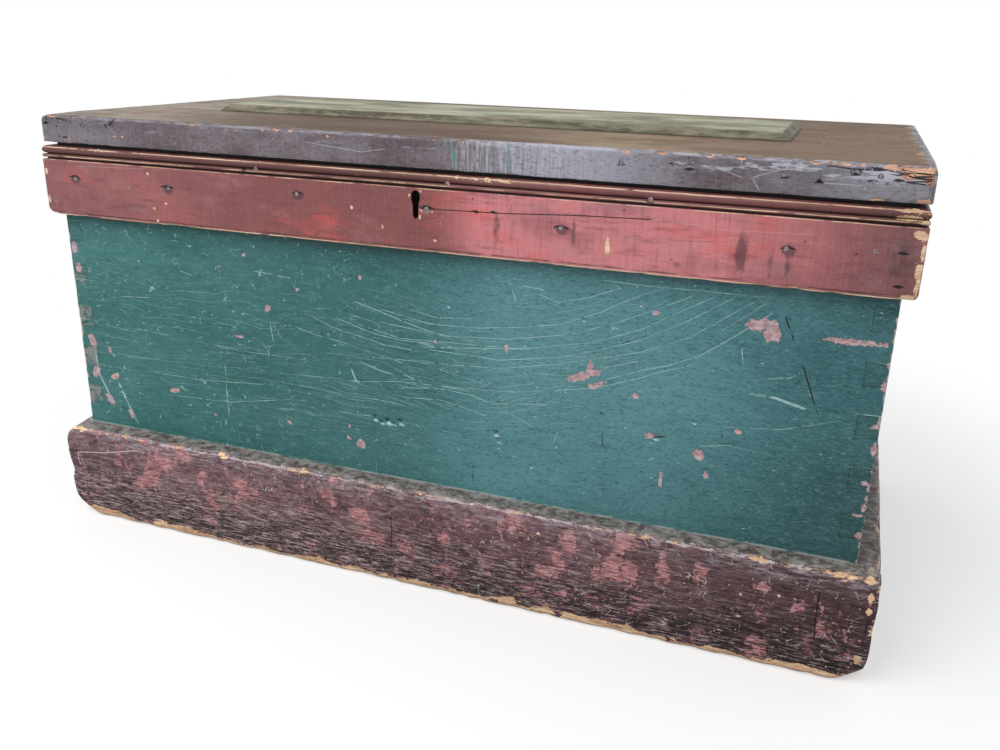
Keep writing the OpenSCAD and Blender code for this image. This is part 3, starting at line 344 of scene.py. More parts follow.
def green_paint():
    f = Finish("teal_green")
    wear = f.attribute("wear")
    dent = f.attribute("mark")
    outside = abs(f.x).step(HALF_L - CASE_T + 0.2, HALF_L - CASE_T + 0.6).most(
        abs(f.y).step(HALF_D - CASE_T + 0.2, HALF_D - CASE_T + 0.6))
    edge_top = f.z.step(CASE_TOP - 0.8, CASE_TOP - 0.4)

    # Paint: greener on the left and bluer on the right, with painted sheen in the middle and painted shade
    # left of the middle, at the right end, low on the right and under the band
    cloud = f.noise(90, 3, 0.6, 1.6, 2)
    streak = f.noise(6, 4, 0.72, 4, 4)
    f.colour = f.mix(f.x.step(-420, 380), (0.028, 0.124, 0.118), (0.034, 0.12, 0.136))
    # Painted sheen: a lighter, bluer middle, laid together with the random clouds
    middle = f.x.step(-60, 130) * f.x.step(420, 240)
    f.lay(cloud.step(0.3, 0.7) * 0.35 + middle * 0.68, (0.09, 0.232, 0.252))
    # Painted shade: darker left of the middle
    f.lay(f.x.step(-340, -190) * f.x.step(90, -30) * 0.26, (0.012, 0.062, 0.058))
    # Painted shade: darker at the right end, more so low down
    f.lay(f.x.step(300, 450) * (0.16 + 0.3 * f.z.step(290, 180)), (0.022, 0.04, 0.042))
    pin = (f.z - CASE_Z).maths("FLOORED_MODULO", PIN_STEP).step(PIN_W, PIN_W - 0.8)
    pin = pin * abs(f.x).step(HALF_L - CASE_T - 0.4, HALF_L - CASE_T + 0.4)
    pin = pin * abs(f.y).step(HALF_D - 1.0, HALF_D - 0.5)
    f.lay(pin * 0.28, (0.016, 0.038, 0.038))
    f.lay(streak.step(0.5, 0.72) * 0.38, (0.01, 0.048, 0.046))
    f.lay(streak.step(0.48, 0.28) * 0.4, (0.11, 0.24, 0.25))
    # Painted shade: darker low on the right, and a darker strip under the band
    painted_shade = (f.z + (f.x + abs(f.x)) * 0.2).step(420, 150) * f.x.step(100, 420) * 0.78
    f.lay((painted_shade * 0.92).most(f.z.step(345, 384) * 0.3), (0.01, 0.038, 0.04))

    # Cracks along the grain of a flat-sawn board: arches to the right, long waves to the left
    wander = f.noise(120, 2, stretch=(1.6, 1, 1), shift=5) * 50
    wander = wander + f.noise(26, 2, stretch=(2, 1, 1), shift=7) * 12
    across = f.x.most(-60) - 50
    grain = f.z - across * across * 0.00085 + wander

    def cracks(pitch, width, shift):
        cells = f.node("ShaderNodeTexVoronoi", {"voronoi_dimensions": "1D", "feature": "DISTANCE_TO_EDGE"},
                       {"W": grain / pitch + shift, "Scale": 1.0})
        return cells.step(width, width * 0.3) * f.noise(44, 3, 0.66, (2.2, 1, 0.4), shift).step(0.5, 0.58)

    lines = cracks(10.0, 0.026, 3.0).most(cracks(5.5, 0.034, 11.0))
    lines = lines * abs(f.z - f.x.most(0) * 0.26 - 248).step(110, 50) * f.x.step(330, 200)

    # Pale scratches and specks
    place = f.warped(14, 1.6)
    broken = f.noise(12, 2, shift=44).step(0.34, 0.44)
    broken = broken * (0.4 + 0.6 * f.noise(30, 2, shift=48).step(0.38, 0.6))
    cuts = f.line("scratch").most(f.line("score")) * broken
    pale = cuts.most(lines * 0.75).most(f.hairs(13, 0.012, 0.545, 60) * f.x.step(60, -160) * 0.7)
    pale = pale.most(f.specks(26, 0.34, 0.8, (8, 8, 0.55), (0.25, 0.35, 0), place) * 0.5)
    f.lay(pale * 0.8, (0.36, 0.53, 0.52))
    f.lay(f.specks(9, 0.55, 0.5, (2.6, 2.6, 0.8), at=place) * 0.8, (0.48, 0.64, 0.64))
    pocks = f.specks(19, 1.5, 0.7, 1.5, at=f.warped(5, 1.6))
    fine = f.noise(1.3, 3, 0.75, 3.4, 33)
    strong = 0.5 + 0.5 * f.x.step(-160, 120)
    f.lay(fine.step(0.54, 0.68) * strong * 0.62, (0.007, 0.03, 0.03))
    f.lay(fine.step(0.45, 0.31) * strong * 0.5, (0.15, 0.3, 0.3))
    flecks = f.noise(3.4, 4, 0.8, 2.2, 45)
    f.lay(flecks.step(0.645, 0.69) * 0.7, (0.26, 0.43, 0.42))
    f.lay(flecks.step(0.36, 0.315) * 0.8, (0.005, 0.02, 0.02))
    # Painted highlight on the dents' lower rims
    f.lay(dent.step(-0.15, -0.5) * fine.step(0.66, 0.5) * 0.95, (0.42, 0.66, 0.63))

    # Chips down to a pink primer, at the places that the board gives and on its worn corners
    chip = f.chips()
    thin = f.noise(3.6, 4, 0.75, 2, 27).step(0.36, 0.5)
    primer = (chip * (0.6 + 0.4 * thin)).most(f.specks(46, 2.0, 0.4, 2, at=f.warped(5, 3.0)) * thin * 0.55)
    pink = f.mix(f.noise(4, 4, 0.75, 2, shift=8).step(0.38, 0.62), (0.36, 0.19, 0.205), (0.54, 0.39, 0.4))
    f.lay(primer * 0.92, pink)
    rubbed_pin = pin * f.x.step(-425, -440) * f.z.step(330, 290)
    f.lay(rubbed_pin * f.noise(10, 4, 0.7, 2, 29).step(0.44, 0.56) * 0.55, (0.33, 0.27, 0.28))
    rubbed = (wear * 0.8 + f.noise(4, 4, 0.75, (1, 1, 1.6), 21) * 1.3).step(1.04, 1.14)
    foot = f.z.step(PLINTH_H + 3.0, PLINTH_H + 1.2) * streak.step(0.4, 0.52)
    f.lay(foot * 0.65, (0.4, 0.44, 0.43))
    f.lay(rubbed * 0.85, f.mix(fine.step(0.4, 0.6), (0.3, 0.26, 0.25), (0.5, 0.38, 0.34)))

    # Dark gouges and joints, painted shade in the gap under the lid and in the dents, then bare wood inside
    # and on the upper edge
    joints = corner_lines(f, (CASE_Z, PIN_W, PIN_STEP), HALF_L - CASE_T, HALF_D - CASE_T, CASE_T)
    joints = joints * f.noise(9, 2, shift=52).step(0.26, 0.48)
    dark = (f.line("gouge") * f.noise(5, 2, shift=50).step(0.36, 0.5)).most(joints * 0.65)
    # Painted shade: the top of the case, seen in the gap under the lid, laid near-black
    dark = dark.most(f.z.step(454, 461) * (1 - edge_top * 0.6))
    # Painted shade in the dents
    dark = dark.most(dent.step(0.25, 0.8) * fine.step(0.4, 0.48) * 0.85)
    f.lay(dark * 0.96, (0.013, 0.013, 0.012))
    smear = f.noise(16, 4, 0.7, 3, 61).step(0.57, 0.63) * edge_top
    bare = (1 - outside).most(edge_top) * (1 - smear)
    f.lay(bare, f.board(18, PINE_DARK, PINE_LIGHT))
    relief = fine * 0.14 + streak * 0.3 - cuts * 0.2 - chip * 0.3 - dark * 0.5
    relief = relief - dent * 1.6 - pocks * 0.45 - lines * 0.15
    rough = 0.34 + primer * 0.3 + bare * 0.3 + cloud * 0.14
    return f.shell(rough, relief, 0.26)


def edge_wood(f, shift):
    """Where an arris is rubbed through to the wood, in ragged flakes along the grain."""
    grit = f.noise(3.2, 4, 0.72, 2.6, 15 + shift)
    return (f.attribute("wear") * 0.5 + grit * 1.6).step(1.19, 1.25)


def red_paint():
    f = Finish("oxblood_red")
    mark = f.attribute("mark")
    quirk_shade = f.attribute("quirk_shade")
    brush = f.noise(2.2, 3, 0.65, (1, 1, 14), 4)
    along = f.noise(4, 4, 0.7, 7, 12)
    broad = f.noise(55, 4, 0.66, (1.3, 1.3, 0.7), 6)
    bead = f.z.step(BAND_Z + BAND_FLAT - 1, BAND_Z + BAND_FLAT + 1)
    # Painted light: a brighter middle of the band, less so towards the right end
    lit_middle = f.x.step(10, 110) * f.x.step(345, 240) + f.x.step(10, 110) * f.x.step(460, 360) * 0.62
    lit_middle = lit_middle.least(1.0)
    f.colour = f.mix(f.x.step(-340, -170), (0.285, 0.1, 0.098), (0.212, 0.07, 0.066))
    f.lay(lit_middle, (0.535, 0.185, 0.198))
    # Painted shade: darker at the left end and more so at the right end
    f.lay(f.x.step(-300, -420) * 0.2 + f.x.step(385, 455) * 0.55, (0.15, 0.08, 0.088))
    f.lay(broad.step(0.42, 0.66) * 0.5, (0.17, 0.06, 0.07))
    f.lay(broad.step(0.46, 0.28) * 0.5, (0.56, 0.085, 0.075))
    f.lay(brush.step(0.48, 0.74) * (0.1 + 0.14 * lit_middle), (0.5, 0.25, 0.26))
    f.lay(brush.step(0.48, 0.26) * (0.14 + 0.2 * lit_middle), (0.085, 0.028, 0.034))
    grit = f.noise(1.6, 3, 0.8, 1.4, 35)
    f.lay(grit.step(0.55, 0.7) * 0.34, (0.075, 0.026, 0.03))
    f.lay(grit.step(0.44, 0.3) * 0.24, (0.54, 0.26, 0.265))
    f.lay(along.step(0.5, 0.7) * 0.4, (0.085, 0.036, 0.045))
    f.lay(f.noise(18, 4, 0.7, 2.5, 17).step(0.52, 0.72) * 0.28, (0.3, 0.2, 0.23))
    f.lay(bead * 0.72, (0.07, 0.03, 0.026))
    specks = f.specks(14, 0.6, 0.7, at=f.warped(4, 1.2))
    f.lay(specks * 0.85, (0.62, 0.48, 0.42))
    scratch = f.specks(30, 0.32, 0.8, (8, 8, 0.6), (0, 0.15, 0), f.warped(14, 1.2))
    f.lay(scratch.most(f.line("scratch") * 0.7) * 0.45, (0.52, 0.36, 0.35))
    worn_line = reduce(Wire.most, [
        abs(f.z - z + (along - 0.5) * 1.2).step(half, half * 0.45)
        * f.noise(13, 3, 0.7, 3, 90 + z).step(0.44 - 0.1 * share, 0.56 - 0.1 * share)
        for z, half, share in BAND_WORN])
    outer = (abs(f.x) - HALF_L).most(abs(f.y) - HALF_D).step(BAND_T - 4, BAND_T - 3)
    bare = edge_wood(f, 5).most(f.chips(1.6, 3.0)).most(worn_line * outer * 0.85)
    f.lay(bare * 0.92, f.pine(14, (0.46, 0.26, 0.15), (0.84, 0.64, 0.44)))
    stain = (mark * 0.62 + f.noise(3.4, 3, 0.7, (1, 1, 3), shift=25) * 0.75).step(0.6, 0.95)
    # Painted shade: the walls inside the keyhole laid near-black
    keyhole_shade = abs(f.x).step(6.4, 6.0) * abs(f.z - KEY_LOW - 14).step(15.5, 15)
    keyhole_shade = keyhole_shade * (f.y + HALF_D + BAND_T).step(0.8, 1.6) * f.y.step(0, -1)
    low_line = abs(f.z - BAND_Z - 3.2 + (along - 0.5) * 1.4).step(0.9, 0.3) * (1 - bare) * outer
    dark = f.line("gouge").most(keyhole_shade).most(low_line * along.step(0.4, 0.56) * 0.7)
    f.lay(stain * 0.72, (0.055, 0.034, 0.042))
    # Near-black on the gouges, and as painted shade in the keyhole and the quirks between the beads
    f.lay(dark.most(quirk_shade * 0.9) * 0.95, (0.012, 0.008, 0.008))
    relief = brush * 0.1 + along * 0.25 - bare * 0.3 - dark * 0.5 - specks * 0.1
    rough = 0.38 + bare * 0.3 + broad * 0.12
    return f.shell(rough, relief, 0.28)


def maroon_paint():
    f = Finish("dark_maroon")
    scuff = f.attribute("mark")
    inside = abs(f.x).step(HALF_L + 0.8, HALF_L + 0.3) * abs(f.y).step(HALF_D + 0.8, HALF_D + 0.3)
    low = f.z.step(95, 15)
    right = f.x.step(60, 470)
    weather = f.noise(2.4, 4, 0.78, 8, 3)
    broad = f.noise(50, 3, 0.6, 1.5, 6)
    f.colour = f.mix(broad.step(0.34, 0.66), (0.105, 0.048, 0.054), (0.205, 0.112, 0.124))
    dry = f.z.step(86, 40) * (1 - right * 0.3)
    f.lay(weather.step(0.5, 0.64) * (0.28 + 0.62 * dry), (0.46, 0.35, 0.37))
    f.lay(weather.step(0.46, 0.32) * (0.4 + 0.35 * dry), (0.02, 0.01, 0.012))
    f.lay(f.x.step(60, -160) * dry * 0.42 * weather.step(0.38, 0.56), (0.5, 0.35, 0.34))
    blot = f.noise(5, 5, 0.8, 1.6, 27)
    f.lay(blot.step(0.52, 0.62) * 0.6, (0.028, 0.016, 0.02))
    f.lay(blot.step(0.45, 0.37) * 0.42, (0.36, 0.27, 0.3))
    # Painted shade: darker towards the right end
    f.lay(right * 0.66, (0.034, 0.014, 0.016))

    # Scuffs down to an older brick red, in upright and slanting licks, more of them on the left
    licks = f.noise(20, 5, 0.68, (1.2, 1.2, 1.8), 12, turn=(0, 0.3, 0))
    licks = licks + f.noise(2.2, 3, 0.75, 3.5, 18) * 0.34
    rubbed = (licks + scuff * 0.18 + (1 - right) * 0.02 - 0.05).step(0.715, 0.745)
    brick = f.mix(f.noise(2.4, 4, 0.75, 4, 22).step(0.35, 0.65), (0.3, 0.112, 0.122), (0.58, 0.29, 0.3))
    f.lay(rubbed * 0.88, brick)

    # Dry black grain below, pale scratches, and a greyed upper edge with a painted highlight along its arris
    grain = f.noise(2.0, 4, 0.78, 12, 34) + low * 0.075
    black = grain.step(0.55, 0.585) * (0.5 + 0.5 * low)
    f.lay(black * 0.9, (0.008, 0.006, 0.007))
    straw = (f.noise(1.7, 4, 0.8, 11, 61) + low * 0.03).step(0.605, 0.65) * (0.3 + 0.7 * low)
    curls = f.hairs(15, 0.011, 0.53, 60)
    specks = f.specks(10, 0.75, 0.7, at=f.warped(5, 1.0)).most(f.line("scratch")).most(curls * 0.8)
    f.lay(straw.most(specks * 0.85), (0.6, 0.52, 0.49))
    haze = f.z.step(90, 116) * f.noise(4, 4, 0.8, 4, 28).step(0.46, 0.58)
    f.lay(haze * 0.7, f.mix(weather.step(0.42, 0.58), (0.17, 0.135, 0.155), (0.43, 0.375, 0.405)))
    ledge = f.z.step(PLINTH_H - 1.8, PLINTH_H - 0.8)
    dust = f.mix(f.noise(1.8, 4, 0.75, 7, 71).step(0.36, 0.66), (0.062, 0.054, 0.046), (0.31, 0.29, 0.268))
    f.lay(ledge * 0.92, dust)
    # A pale line along the upper arris: worn paint, and painted highlight on the rounding
    rim = abs(f.z - PLINTH_H + 3.0) * 0.075
    pale_rim = (f.noise(3.0, 4, 0.8, 5, 73) - rim).step(0.42, 0.52)
    tint = f.mix(f.noise(9, 2, stretch=2, shift=75).step(0.5, 0.6), (0.5, 0.46, 0.48), (0.66, 0.47, 0.3))
    f.lay(pale_rim * 0.8, tint)

    # Bare wood on the worn edges: long flakes above the lower one, with a brown rubbed foot that is also
    # darkened as painted shade where it faces down
    flakes = (f.noise(24, 4, 0.66, (1.8, 1.8, 0.7), 81) * 40 - 13.4 - f.z
              + f.noise(2.4, 3, 0.7, 2, 84) * 5).step(-0.4, 0.4)
    bare = edge_wood(f, 9).most(flakes).most(f.chips(1.8, 3.0))
    f.lay(bare, f.pine(16, (0.5, 0.27, 0.16), (0.9, 0.65, 0.42)))
    # The foot's brown is dirt on the bare wood and painted shade on its downward face
    foot = f.z.step(3.4, 1.6)
    f.lay(foot * 0.9, f.mix(weather.step(0.4, 0.6), (0.095, 0.045, 0.028), (0.23, 0.12, 0.075)))
    f.lay(inside, f.pine(16, (0.14, 0.08, 0.045), (0.36, 0.23, 0.13)))
    joints = reduce(Wire.most, [
        corner_lines(f, (z - PLINTH_PIN_W / 2, PLINTH_PIN_W, None), HALF_L, HALF_D, PLINTH_T)
        * abs(f.z - z).step(14, 12) for z in PLINTH_PIN_Z])
    dark = joints.most(f.line("gouge"))
    f.lay(dark * 0.85, (0.01, 0.006, 0.006))
    relief = weather * 0.6 - black * 0.6 - bare * 0.4 - rubbed * 0.2 - dark * 0.6 + straw * 0.2
    rough = 0.52 + bare * 0.25
    return f.shell(rough, relief, 0.22)


def brown_paint(name="worn_brown", stretch=(16, 1, 1)):
    """Rim and frame of the lid: grey-purple paint on the faces, worn varnish on top, bare pine below."""
    f = Finish(name)
    top = f.z.step(LID_TOP - 1.2, LID_TOP - 0.4)
    inside = abs(f.y).step(HALF_D + 0.5, HALF_D) * abs(f.x).step(HALF_L + 0.5, HALF_L)
    under = f.z.step(LID_Z + 0.5, LID_Z + 0.2) * inside

    # Faces: purple-grey, with painted sheen in blue-grey right of the middle and a little at the ends, and
    # upright brush chatter
    cloud = f.noise(45, 4, 0.68, (2, 1.3, 1), 2)
    f.colour = f.mix(cloud.step(0.36, 0.66), (0.092, 0.07, 0.08), (0.158, 0.134, 0.15))
    painted_sheen = f.x.step(40, 130) * f.x.step(290, 160) * 0.95
    painted_sheen = painted_sheen + f.x.step(-300, -440) * 0.12 + f.x.step(300, 420) * 0.42
    f.lay(painted_sheen * cloud.step(0.15, 0.45), (0.3, 0.305, 0.36))
    chatter = f.noise(2.4, 3, 0.65, (1, 1, 12), 5)
    brushed = f.x.step(20, 60) * f.x.step(190, 130)
    f.lay(chatter.step(0.48, 0.66) * (0.06 + 0.5 * brushed), (0.46, 0.46, 0.5))
    f.lay(chatter.step(0.46, 0.32) * (0.08 + 0.45 * brushed), (0.12, 0.11, 0.12))
    rough_skin = f.noise(2.2, 4, 0.75, 2.2, 19)
    f.lay(rough_skin.step(0.5, 0.68) * 0.5, (0.03, 0.022, 0.026))
    f.lay(rough_skin.step(0.44, 0.3) * 0.35, (0.33, 0.31, 0.35))
    # Pale blue streaks on the upper faces: paint smears and painted highlight, more of them to the right
    smear = (f.noise(7, 4, 0.78, 6, 41) + f.x.step(200, 400) * 0.05).step(0.57, 0.65) * f.z.step(470, 490)
    f.lay(smear * (0.2 + 0.5 * f.x.step(0, 240)), (0.48, 0.49, 0.56))
    side = f.colour

    # Top: olive-brown varnish, lighter to the right, with a painted reflection as a pale patch on the left,
    # red-brown in worn patches
    grain = f.noise(1.9, 4, 0.75, stretch, 8)
    stain = f.noise(60, 4, 0.68, (1.8, 1, 1), 11)
    patch = f.noise(42, 4, 0.7, (2.2, 1, 1), 16)
    f.colour = f.mix(f.x.step(-60, 160), (0.13, 0.094, 0.066), (0.27, 0.2, 0.13))
    f.lay(f.x.step(190, 340) * 0.7, (0.15, 0.092, 0.06))
    # Painted reflection: a pale grey patch at the left
    f.lay(f.x.step(-190, -400) * 0.62, (0.42, 0.37, 0.31))
    f.lay(stain.step(0.44, 0.64) * 0.5, (0.07, 0.046, 0.026))
    f.lay(patch.step(0.5, 0.66) * 0.6, (0.17, 0.074, 0.048))
    f.lay(patch.step(0.42, 0.3) * 0.45, (0.23, 0.23, 0.165))
    f.lay(grain.step(0.48, 0.72) * 0.5, (0.05, 0.032, 0.02))
    f.lay(grain.step(0.42, 0.3) * 0.35, (0.46, 0.38, 0.27))
    frame_line = (abs(f.y - RAIL_IN_FRONT).least(abs(f.y - RAIL_IN_BACK))).step(1.1, 0.4)
    frame_line = frame_line * abs(f.x).step(STILE_IN - 1, STILE_IN)
    f.lay(frame_line * 0.8, (0.012, 0.009, 0.007))
    out = (abs(f.x) - LID_HALF_L).most(0 - f.y - LID_FRONT)
    ragged = f.noise(9, 4, 0.75, 2.5, 83)
    over = out + (ragged - 0.5) * (9 + 7 * f.x.step(100, 260) * f.x.step(LID_HALF_L, 430))
    lap = over.step(2.5, 4.5)
    f.colour = f.mix(top * (1 - lap), side, f.colour)
    edge = (f.z + out * 0.8).step(RIM_Z + RIM_H + 5.0, RIM_Z + RIM_H + 7.4) * lap
    glint = edge * f.noise(3.0, 4, 0.8, 8, 87).step(0.42, 0.56)
    f.lay(glint * (0.36 + 0.3 * f.x.step(0, 240)), (0.44, 0.43, 0.49))
    rub = top * over.step(-4, 1) * (1 - lap) * f.noise(8, 4, 0.75, 3, 89).step(0.5, 0.58)
    f.lay(rub * 0.7, (0.5, 0.34, 0.24))
    red_wear = top * out.step(-110, -30) * f.x.step(-250, -110) * f.x.step(190, 60)
    red_wear = red_wear * (0.5 + 0.5 * patch.step(0.4, 0.56))
    f.lay(red_wear * 0.88 * (1 - lap), (0.08, 0.044, 0.028))

    spots = f.specks(12, 0.6, 0.7, at=f.warped(5, 1.0))
    f.lay(spots * 0.8, (0.55, 0.5, 0.44))
    scratch = f.specks(28, 0.32, 0.8, (8, 8, 0.5), (0.1, 0.3, 0.5), f.warped(16, 1.4))
    f.lay(scratch.most(f.line("scratch") * 0.8) * 0.5, (0.48, 0.48, 0.5))
    f.lay(f.line("score") * 0.75, (0.085, 0.2, 0.2))
    bare = edge_wood(f, 13).most(f.chips(2.0, 3.0))
    f.lay(bare * 0.92, f.pine(stretch, (0.34, 0.15, 0.09), (0.72, 0.44, 0.3)))
    dark = f.line("gouge") * f.noise(4, 2, shift=51).step(0.34, 0.46)
    f.lay(dark * 0.95, (0.008, 0.006, 0.005))
    f.lay(under, f.board(stretch, PINE_DARK, PINE_LIGHT))
    relief = grain * top * 0.25 + rough_skin * 0.2 + chatter * 0.06
    relief = relief - bare * 0.35 - frame_line * 0.4 - dark * 0.8
    rough = 0.42 + top * 0.24 + bare * 0.2 + cloud * 0.1
    return f.shell(rough, relief, 0.22)


def olive_paint():
    f = Finish("olive_green")
    cloud = f.noise(50, 4, 0.68, (2.6, 1, 1), 3)
    grain = f.noise(2.4, 4, 0.75, (18, 1, 1), 6)
    f.colour = f.mix(cloud.step(0.36, 0.64), (0.12, 0.126, 0.074), (0.4, 0.405, 0.3))
    f.lay(f.noise(30, 4, 0.7, (2.4, 1, 1), 9).step(0.54, 0.68) * 0.5, (0.105, 0.075, 0.04))
    f.lay(grain.step(0.49, 0.7) * 0.5, (0.06, 0.055, 0.03))
    # Painted shade: the bevel laid darker than the flat, darkest in the crease at its foot
    flat = f.z.step(LID_TOP + 8.0, LID_TOP + 8.9)
    slope = f.mix(f.noise(6, 4, 0.72, 6, 14).step(0.35, 0.65), (0.075, 0.068, 0.044), (0.215, 0.2, 0.14))
    f.lay(1 - flat, slope)
    foot = f.z.step(LID_TOP + 2.0, LID_TOP + 0.7)
    f.lay(foot * 0.75, (0.03, 0.022, 0.015))
    rub = f.z.step(LID_TOP + 7.4, LID_TOP + 8.8) * (1 - flat * 0.8)
    rub = rub * f.noise(10, 4, 0.75, 5, 9).step(0.46, 0.56)
    f.lay(rub * 0.75, (0.44, 0.33, 0.2))
    spots = f.specks(13, 0.6, 0.7, at=f.warped(5, 1.0))
    f.lay(spots * 0.6, (0.52, 0.48, 0.36))
    under = f.z.step(LID_TOP - 1, LID_TOP - 2)
    f.lay(under, f.board((22, 1, 1), PINE_DARK, PINE_LIGHT))
    return f.shell(0.52 + cloud * 0.16 + under * 0.2, grain * 0.22 - rub * 0.2, 0.22)


def bare_pine():
    f = Finish("old_pine")
    grain = (22, 1, 1)
    hairs = f.noise(1.5, 3, 0.7, grain, 57)
    f.colour = f.board(grain, PINE_DARK, (0.52, 0.36, 0.21))
    return f.shell(0.74 + hairs * 0.1, hairs * 0.12, 0.25)


def iron(name="forged_iron", paint=None):
    """Forged iron with a little rust, and the paint that was brushed over it."""
    f = Finish(name)
    pits = f.noise(2.2, 4, 0.65, shift=2)
    rust = f.noise(9, 4, 0.7, shift=5).step(0.5, 0.66)
    f.colour = f.mix(rust * 0.75, (0.045, 0.041, 0.04), (0.135, 0.058, 0.03))
    metal = 0.75 - rust * 0.6
    if paint:
        cover = f.noise(2.0, 3, 0.6, shift=8).step(0.4, 0.5)
        f.lay(cover, paint)
        metal = metal * (1 - cover)
    return f.shell(0.42 + rust * 0.3 + pits * 0.15, pits * 0.25, metal=metal)


def brass():
    f = Finish("dull_brass")
    tarnish = f.noise(12, 4, 0.65, shift=3).step(0.38, 0.68)
    f.colour = f.mix(tarnish, (0.5, 0.35, 0.15), (0.16, 0.1, 0.045))
    f.lay(f.specks(9, 0.25, 0.8, (6, 6, 0.6), (0.2, 0.2, 0)) * 0.5, (0.72, 0.55, 0.28))
    relief = f.noise(1.5, 3, shift=7) * 0.08
    return f.shell(0.34 + tarnish * 0.25, relief, metal=0.95 - tarnish * 0.25)


# Moulded strips: a section run along a straight path, mitred or rounded at its ends
def arc(centre, radius, first, last, count):
    turns = np.radians(np.linspace(first, last, count))
    return [(centre[0] + radius * math.cos(t), centre[1] + radius * math.sin(t)) for t in turns]


def filled(corners, longest):
    """An outline whose visible edges are split to longest, or to a corner's own third value."""
    points = []
    for first, last in zip(corners, corners[1:] + corners[:1]):
        step = first[2] if len(first) > 2 else 1e3 if first[0] < 1.5 and last[0] < 1.5 else longest
        count = max(1, math.ceil(math.hypot(last[0] - first[0], last[1] - first[1]) / step))
        points += [tuple(first[i] + (last[i] - first[i]) * k / count for i in (0, 1)) for k in range(count)]
    return points


def band_section():
    large = (BAND_T - BEAD_R, BAND_H - BEAD_R)
    small = (BAND_T - SMALL_BEAD_R, BAND_FLAT + GROOVE_W + SMALL_BEAD_R)
    floor = BAND_T - BEAD_D
    return filled([(0, 0), (0, BAND_H)] + arc(large, BEAD_R, 90, -84, 11)
                  + [(floor, small[1] + SMALL_BEAD_R)] + arc(small, SMALL_BEAD_R, 90, -90, 8)
                  + [(floor, small[1] - SMALL_BEAD_R), (floor, BAND_FLAT), (BAND_T - 0.5, BAND_FLAT)]
                  + [(BAND_T, BAND_FLAT - 0.5)]
                  + arc((BAND_T - 0.8, 0.8), 0.8, 0, -90, 3), 2.4)


def rim_section():
    top = (RIM_T - RIM_R, RIM_H - RIM_R)
    return filled([(0, 0), (0, RIM_H - 0.6), (0.5, RIM_H)] + arc(top, RIM_R, 90, 0, 6)
                  + arc((RIM_T - 0.8, 0.8), 0.8, 0, -90, 3), 2.2)


def plinth_section():
    top = (PLINTH_T - PLINTH_TOP_R, PLINTH_H - PLINTH_TOP_R)
    return filled([(0, 0), (0, PLINTH_H)] + arc(top, PLINTH_TOP_R, 90, 0, 7)
                  + arc((PLINTH_T - PLINTH_LOW_R, PLINTH_LOW_R), PLINTH_LOW_R, 0, -90, 6), 2.5)


def board_section(fine):
    """Section of a case board, with its finest points between the plinth and the band."""
    edge, hidden = 0.8, 4
    low, high = PLINTH_H - CASE_Z - hidden, BAND_Z - CASE_Z + hidden
    return filled([(0, 0), (0, CASE_H, 4), (CASE_T - edge, CASE_H, 1e3), (CASE_T, CASE_H - edge, 22),
                   (CASE_T, high, fine), (CASE_T, low, 24), (CASE_T, edge, 1e3),
                   (CASE_T - edge, 0, 1e3)], fine)


def new_group(name, source, sizes, finish, result):
    """A tree with named inputs, a geometry, its sizes and a material: the inputs' keys and the tree."""
    group = bpy.data.node_groups.new(name, "GeometryNodeTree")
    kinds = {source: "Geometry", **{size: "Float" for size in sizes}, finish: "Material"}
    keys = {}
    for label, kind in kinds.items():
        made = group.interface.new_socket(label, in_out="INPUT", socket_type="NodeSocket" + kind)
        keys[label] = made.identifier
    group.interface.new_socket(result, in_out="OUTPUT", socket_type="NodeSocketGeometry")
    return keys, Tree(group)


STRIP_SIZES = ("Run left", "Run right", "Mitre left", "Mitre right", "Ring spacing",
               "Height", "End round above", "End round below")


def strip_tree():
    """Runs a section along X, leans its ends by the mitres and rounds them above and below."""
    keys, t = new_group("moulded_strip", "Section", STRIP_SIZES, "Paint", "Strip")

    def given(name):
        return t.node("NodeGroupInput", out=name)

    left, right, high, spacing = [given(n) for n in ("Run left", "Run right", "Height", "Ring spacing")]
    ends = [t.node("ShaderNodeCombineXYZ", inputs={"X": x}) for x in (0 - left, right)]
    path = t.node("GeometryNodeCurvePrimitiveLine", inputs={"Start": ends[0], "End": ends[1]})
    path = t.node("GeometryNodeResampleCurve", {"mode": "LENGTH"}, {"Curve": path, "Length": spacing})
    path = t.node("GeometryNodeSetCurveNormal", {"mode": "Z_UP"}, {"Curve": path})
    section = t.node("GeometryNodeMeshToCurve", inputs={"Mesh": given("Section")})
    body = t.node("GeometryNodeCurveToMesh", inputs={
        "Curve": path, "Profile Curve": section, "Fill Caps": True})
    place = t.node("GeometryNodeInputPosition")
    x, y, z = [t.node("ShaderNodeSeparateXYZ", inputs=[place], out=k) for k in range(3)]
    lean = x.least(0) / left * given("Mitre left") + x.most(0) / right * given("Mitre right")
    to_end = (x + left).least(right - x)
    for name, sign in (("End round above", 1), ("End round below", -1)):
        r = given(name).most(0.01)
        fall = r - to_end.least(r)
        drop = r - (r * r - fall * fall).maths("SQRT")
        z = z.least(high - drop) if sign > 0 else z.most(drop)
    moved = t.node("ShaderNodeCombineXYZ", inputs={"X": x - y * lean, "Y": y, "Z": z})
    body = t.node("GeometryNodeSetPosition", inputs={"Geometry": body, "Position": moved})
    body = t.node("GeometryNodeRealizeInstances", inputs={"Geometry": body})
    body = t.node("GeometryNodeSetMaterial", inputs={"Geometry": body, "Material": given("Paint")})
    t.node("NodeGroupOutput", inputs=[body])
    return t.tree, keys


def baked(piece):
    """Turns an object's live modifiers into its plain mesh."""
    depsgraph = bpy.context.evaluated_depsgraph_get()
    mesh = bpy.data.meshes.new_from_object(piece.evaluated_get(depsgraph))
    piece.modifiers.clear()
    piece.data = mesh
    return piece


def new_piece(name, mesh):
    piece = bpy.data.objects.new(name, mesh)
    bpy.context.scene.collection.objects.link(piece)
    return piece


